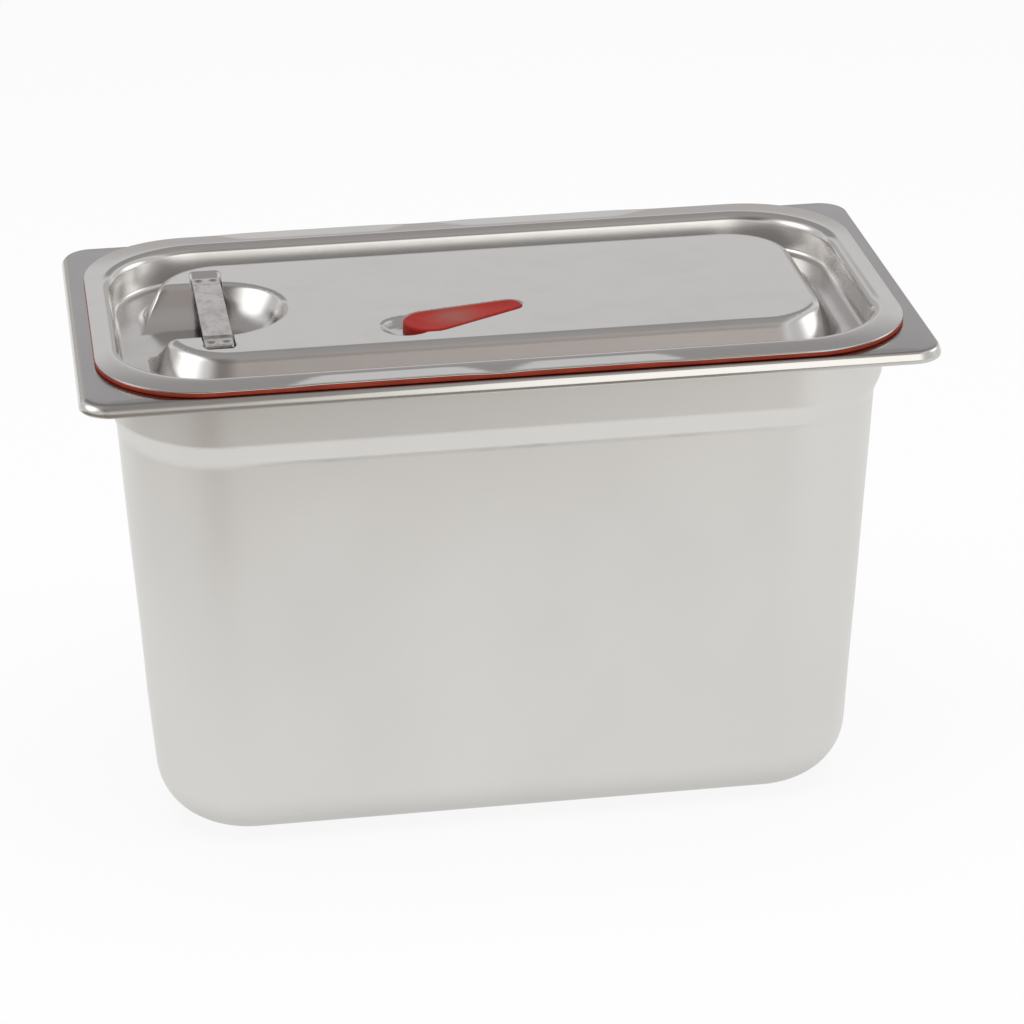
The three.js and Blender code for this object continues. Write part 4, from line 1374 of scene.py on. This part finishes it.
# Painted shade: a mottled brown band darkens each joggle, where the step lies in shade.
from_joggle = abs(abs(y) - (strap_half - STRAP_TAB - JOGGLE_SHADE_FROM_TAB) * MM)
joggle_shade = JOGGLE_SHADE_LEAST + eased(mottle, *JOGGLE_SHADE_FADE) * (1 - JOGGLE_SHADE_LEAST)
joggle_shade = joggle_shade * (1 - eased(from_joggle, 0.0, JOGGLE_SHADE_HALF * MM))
shade = mixed(joggle_shade * JOGGLE_SHADE_SHARE, shade, WELD_TINT_AND_SHADE)
roughness = STRAP_ROUGHNESS + swing(mottle, MOTTLE_SWING) + swing(grain, STRAP_GRAIN_SWING)
bump = bumped(grain, STRAP_BUMP)
dress(strap, finish, wire, {"Base Color": shade, "Metallic": 1.0, "Roughness": roughness, "Normal": bump})

# %% [markdown]
# ## Silicone
# Seal and tab are moulded in red silicone. It is satin, takes a fine texture from the mould, and holds a
# little pale dust. The tab is handled, so it is a touch glossier, and a greyish painted sheen lies on its
# middle.

# %% Red silicone
SEAL_LOOK = {"red": rgba(0.37, 0.05, 0.023), "deep": rgba(0.28, 0.034, 0.017), "matt": 0.5, "dusty": 0.5}
TAB_LOOK = {"red": rgba(0.33, 0.014, 0.008), "deep": rgba(0.27, 0.012, 0.007), "matt": 0.42, "dusty": 0.18}
DUST_AND_SHEEN = rgba(0.24, 0.1, 0.08)
SILICONE_SHINE = 0.1
RED_CLOUDS = (60.0, 60.0, 60.0), 3.0
MOULD_TEXTURE = (1800.0, 1800.0, 1800.0), 2.0
DUST_SPECKS = (850.0, 850.0, 850.0), 3.0, 0.6
DUST_FADE, DUSTY_FADE, DEEP_FADE = (0.64, 0.75), (0.4, 0.7), (0.3, 0.75)
RED_CLOUD_SWING, DUST_DULL = 0.14, 0.2
SILICONE_BUMP = 0.2
SHEEN_FROM_WIDE = 10.0
SHEEN_RADIUS = 14.0
SHEEN_SWING = 0.008
SHEEN_LEAST, SHEEN_TEXTURE = 0.35, 0.5


def silicone(piece, name, red, deep, matt, dusty, sheen_at=None):
    """Moulded silicone: two reds, a fine mould texture, a little dust and perhaps a painted sheen."""
    finish, wire = new_finish(name)
    clouds = noise(wire, *RED_CLOUDS)
    texture = noise(wire, *MOULD_TEXTURE)
    dust = eased(noise(wire, *DUST_SPECKS), *DUST_FADE) * eased(clouds, *DUSTY_FADE) * dusty
    shade = mixed(dust, mixed(eased(clouds, *DEEP_FADE), red, deep), DUST_AND_SHEEN)
    # Painted sheen: a greyish patch stands in for the sheen of light on the tab's middle.
    if sheen_at is not None:
        away = distance(spot_on(wire), tuple(sheen_at * MM)) + swing(clouds, SHEEN_SWING)
        painted_sheen = (1 - eased(away, 0.0, SHEEN_RADIUS * MM)) * (SHEEN_LEAST + texture * SHEEN_TEXTURE)
        shade = mixed(painted_sheen, shade, DUST_AND_SHEEN)
    roughness = matt + swing(clouds, RED_CLOUD_SWING) + dust * DUST_DULL
    bump = bumped(texture, SILICONE_BUMP)
    dress(piece, finish, wire, {"Base Color": shade, "Roughness": roughness,
                                "Specular IOR Level": SILICONE_SHINE, "Normal": bump})


silicone(seal, "seal_red_silicone", **SEAL_LOOK)
# The tab's painted sheen sits near its wide end.
sheen_at = np.append(vent_point(SHEEN_FROM_WIDE), vent_top)
silicone(tab, "tab_red_silicone", sheen_at=sheen_at, **TAB_LOOK)

# %% [markdown]
# ## Studio: floor and surround
# A white floor runs out on all sides, and the surround is white too, so the object stands before nothing.
# A bright lamp on a white floor would light the object from below, so the white is mostly a glow that
# only the camera and mirror-like surfaces see, and a share of plain diffuse white stays to hold the
# shadow.

# %% White floor
FLOOR_HALF = 6.0
FLOOR_GLOW = 0.88
FLOOR_MATT = rgba(0.9, 0.9, 0.9)
WHITE = rgba(1.0, 1.0, 1.0)


def seen_directly(wire):
    """1 for rays of the camera, of mirrors and of glass, 0 for the rest."""
    path = wire.node("LightPath")
    mask = path["Is Camera Ray"] + path["Is Glossy Ray"] + path["Is Transmission Ray"]
    return mask.sum("MINIMUM", mask, 1.0)


def sheet_corners(half_x, half_y):
    return [(x * half_x, y * half_y, 0.0) for x, y in QUADRANTS]


def stage_sheet(name, material, points, faces=None):
    """A sheet that belongs to the studio and not to the object, as one face if none are given."""
    mesh = bpy.data.meshes.new(name)
    mesh.from_pydata(points, [], faces or [range(len(points))])
    mesh.materials.append(material)
    sheet = bpy.data.objects.new(name, mesh)
    scene.collection.objects.link(sheet)
    return sheet


material, wire = new_finish("studio_floor")
matt = wire.node("BsdfDiffuse", {}, {"Color": FLOOR_MATT})
glow = wire.node("Emission", {}, {"Color": WHITE})
end_in(wire.node("MixShader", {}, {0: seen_directly(wire) * FLOOR_GLOW, 1: matt, 2: glow}))
stage_sheet("studio_floor", material, sheet_corners(FLOOR_HALF, FLOOR_HALF))
print("floor", 2 * FLOOR_HALF, "m wide")

# %% White surround
SURROUND_FOR_MATT = 0.55

scene.world = bpy.data.worlds.new("studio_surround")
scene.world.use_nodes = True
scene.world.node_tree.nodes.clear()
wire = Wire(scene.world.node_tree)
level = SURROUND_FOR_MATT + seen_directly(wire) * (1 - SURROUND_FOR_MATT)
wire.node("OutputWorld", {}, {"Surface": wire.node("Background", {}, {"Strength": level})})
print("surround lights matt surfaces at", SURROUND_FOR_MATT)

# %% [markdown]
# ## Studio: what the steel mirrors
# Bright steel shows little of its own colour: it shows the studio. The photographer had a dim, warm room
# in front, a grey ceiling behind, and white lights above and at both sides. Lamps alone would leave the
# mirror images empty, so a half tunnel of cloth stands over the scene, whose shade changes with the
# angle. A darker cloth lies on the floor in front and fades out to the right. Only mirror-like surfaces
# see the two.

# %% A tunnel of cloth
TUNNEL_RADIUS = 5.0
TUNNEL_HALF = 4.6
TUNNEL_Z = 0.2
TUNNEL_STEPS = 48
HALF_TURN = 180.0
TUNNEL_START, TUNNEL_END = -3.0, 183.0
TUNNEL_STRENGTH = 2.0
TUNNEL_ENDS = 2.2, 4.5
TUNNEL_END_SHADE = rgba(0.5, 0.5, 0.5)
TUNNEL_DIM_SIDE = 0.5
TUNNEL_DIM_FROM, TUNNEL_DIM_TO = 1.3, -1.5
DIM = (0.165, 0.142, 0.122)
WINDOW = (0.86, 0.855, 0.83)
PALE_STRIP = (0.422, 0.42, 0.422)
TUNNEL_SHADES = ((3.0, DIM), (5.5, WINDOW), (31.0, WINDOW), (36.0, (0.262, 0.232, 0.217)),
                 (47.0, (0.275, 0.25, 0.237)), (62.0, (0.31, 0.297, 0.288)), (84.0, (0.25, 0.245, 0.242)),
                 (153.5, (0.215, 0.21, 0.208)), (157.3, PALE_STRIP), (163.0, PALE_STRIP),
                 (164.5, (0.31, 0.3, 0.295)))


def only_for_mirrors(thing):
    """Hides a studio sheet from the camera, from matt surfaces and from shadow rays."""
    thing.visible_camera = thing.visible_diffuse = thing.visible_shadow = False


material, wire = new_finish("tunnel_cloth")
x, y, z = place(wire)
front = y * -1.0
turn = wire.sum("ARCTAN2", z, front) * (1 / math.pi)
stops = [(angle / HALF_TURN, shade) for angle, shade in TUNNEL_SHADES]
shade = wire.node("ValToRGB", {"stops": stops}, {"Fac": turn})
dim = (1 - eased(x, TUNNEL_DIM_TO, TUNNEL_DIM_FROM)) * eased(front, 0.0, TUNNEL_RADIUS / 2)
shade = wire.node("VectorMath", {"operation": "SCALE"}, {0: shade, "Scale": 1 - dim * TUNNEL_DIM_SIDE})
shade = mixed(eased(abs(x), *TUNNEL_ENDS), shade, TUNNEL_END_SHADE)
end_in(wire.node("Emission", {}, {"Color": shade, "Strength": TUNNEL_STRENGTH}))
points = []
for angle in np.radians(np.linspace(TUNNEL_START, TUNNEL_END, TUNNEL_STEPS + 1)):
    for x in (-TUNNEL_HALF, TUNNEL_HALF):
        points.append((x, -TUNNEL_RADIUS * math.cos(angle), TUNNEL_RADIUS * math.sin(angle)))
faces = [(2 * i, 2 * i + 1, 2 * i + 3, 2 * i + 2) for i in range(TUNNEL_STEPS)]
tunnel = stage_sheet("studio_tunnel", material, points, faces)
tunnel.location.z = TUNNEL_Z
only_for_mirrors(tunnel)
print("tunnel of", len(faces), "faces")

# %% A dark cloth on the floor in front
FLAG_NEAR, FLAG_FAR = -0.5, -5.0
FLAG_CORNER = (-0.1, -0.5), (-0.13, -0.385), (-0.25, -0.355), (-0.36, -0.42), (-0.57, -0.25)
FLAG_LEFT_END = 0.3
FLAG_LIFT = 0.002
FLAG_SLANT = 0.225
FLAG_FADE = 0.04, 0.14
FLAG_SHADE = rgba(0.33, 0.285, 0.245)
WARM_WHITE = rgba(1.0, 0.99, 0.97)

material, wire = new_finish("flag_cloth")
x, y, _ = place(wire)
shade = mixed(eased(x + y * FLAG_SLANT, *FLAG_FADE), FLAG_SHADE, WARM_WHITE)
end_in(wire.node("Emission", {}, {"Color": shade}))
outline = [(-TUNNEL_HALF, FLAG_FAR), (TUNNEL_HALF, FLAG_FAR), (TUNNEL_HALF, FLAG_NEAR), *FLAG_CORNER,
           (FLAG_CORNER[-1][0], FLAG_LEFT_END), (-TUNNEL_HALF, FLAG_LEFT_END)]
only_for_mirrors(stage_sheet("studio_flag", material, [(x, y, FLAG_LIFT) for x, y in outline]))
print("cloth on the floor with", len(outline), "corners")

# %% [markdown]
# ## Studio: lamps
# One large softbox hangs overhead and a smaller one stands at each side. Small lamps would give hard
# shadows and pinpoint glints, which the photo doesn't have. In the steel the two side lamps show as soft
# glows, so each has a panel in front of it whose glow fades out to its edge, and only mirror-like
# surfaces see the panels.

# %% Two glowing panels
AIM = Vector((0.0, 0.0, 0.2))
PANELS = {
    "panel_left": {"at": Vector((-1.6, 0.0, 1.2)), "half": (1.2, 0.95), "glow": 2.8},
    "panel_right": {"at": Vector((1.8, 0.2, 0.85)), "half": (1.0, 0.75), "glow": 2.6},
}
PANEL_CORE = 0.1


def turned_to_object(at):
    return (AIM - at).to_track_quat("-Z", "Y").to_euler()


for name, panel in PANELS.items():
    material, wire = new_finish(name)
    half_x, half_y = panel["half"]
    spot = stretched(wire, (1 / half_x, 1 / half_y, 1.0))
    from_middle = wire.node("VectorMath", {"operation": "LENGTH"}, {0: spot}, "Value")
    glow = wire.node("Emission", {}, {"Color": WARM_WHITE, "Strength": panel["glow"]})
    faded = eased(from_middle, PANEL_CORE, 1.0)
    end_in(wire.node("MixShader", {}, {0: faded, 1: glow, 2: wire.node("BsdfTransparent")}))
    sheet = stage_sheet("studio_" + name, material, sheet_corners(half_x, half_y))
    sheet.location, sheet.rotation_euler = panel["at"], turned_to_object(panel["at"])
    only_for_mirrors(sheet)
    print(name, "stands at", [round(v, 2) for v in panel["at"]])

# %% Softboxes
SOFTBOXES = {
    "softbox_above": {"at": Vector((0.0, -0.1, 1.75)), "size": (1.7, 1.5), "power": 19.0},
    "softbox_left": {"at": Vector((-1.75, -0.45, 0.75)), "size": (0.9, 1.1), "power": 6.5},
    "softbox_right": {"at": Vector((1.75, -0.45, 0.75)), "size": (0.9, 1.1), "power": 6.5},
}

for name, box in SOFTBOXES.items():
    lamp = bpy.data.lights.new(name, "AREA")
    lamp.shape = "RECTANGLE"
    lamp.size, lamp.size_y = box["size"]
    lamp.energy = box["power"]
    softbox = bpy.data.objects.new(name, lamp)
    softbox.location = box["at"]
    softbox.rotation_euler = turned_to_object(box["at"])
    softbox.visible_camera = softbox.visible_glossy = False
    scene.collection.objects.link(softbox)
    print(name, "glows at", round(box["power"] / (math.pi * lamp.size * lamp.size_y), 2))

# %% [markdown]
# ## Size
# Looks must not change the size of the part. The last cell only brings the scene up to date.

# %% Update the scene
bpy.context.view_layer.update()
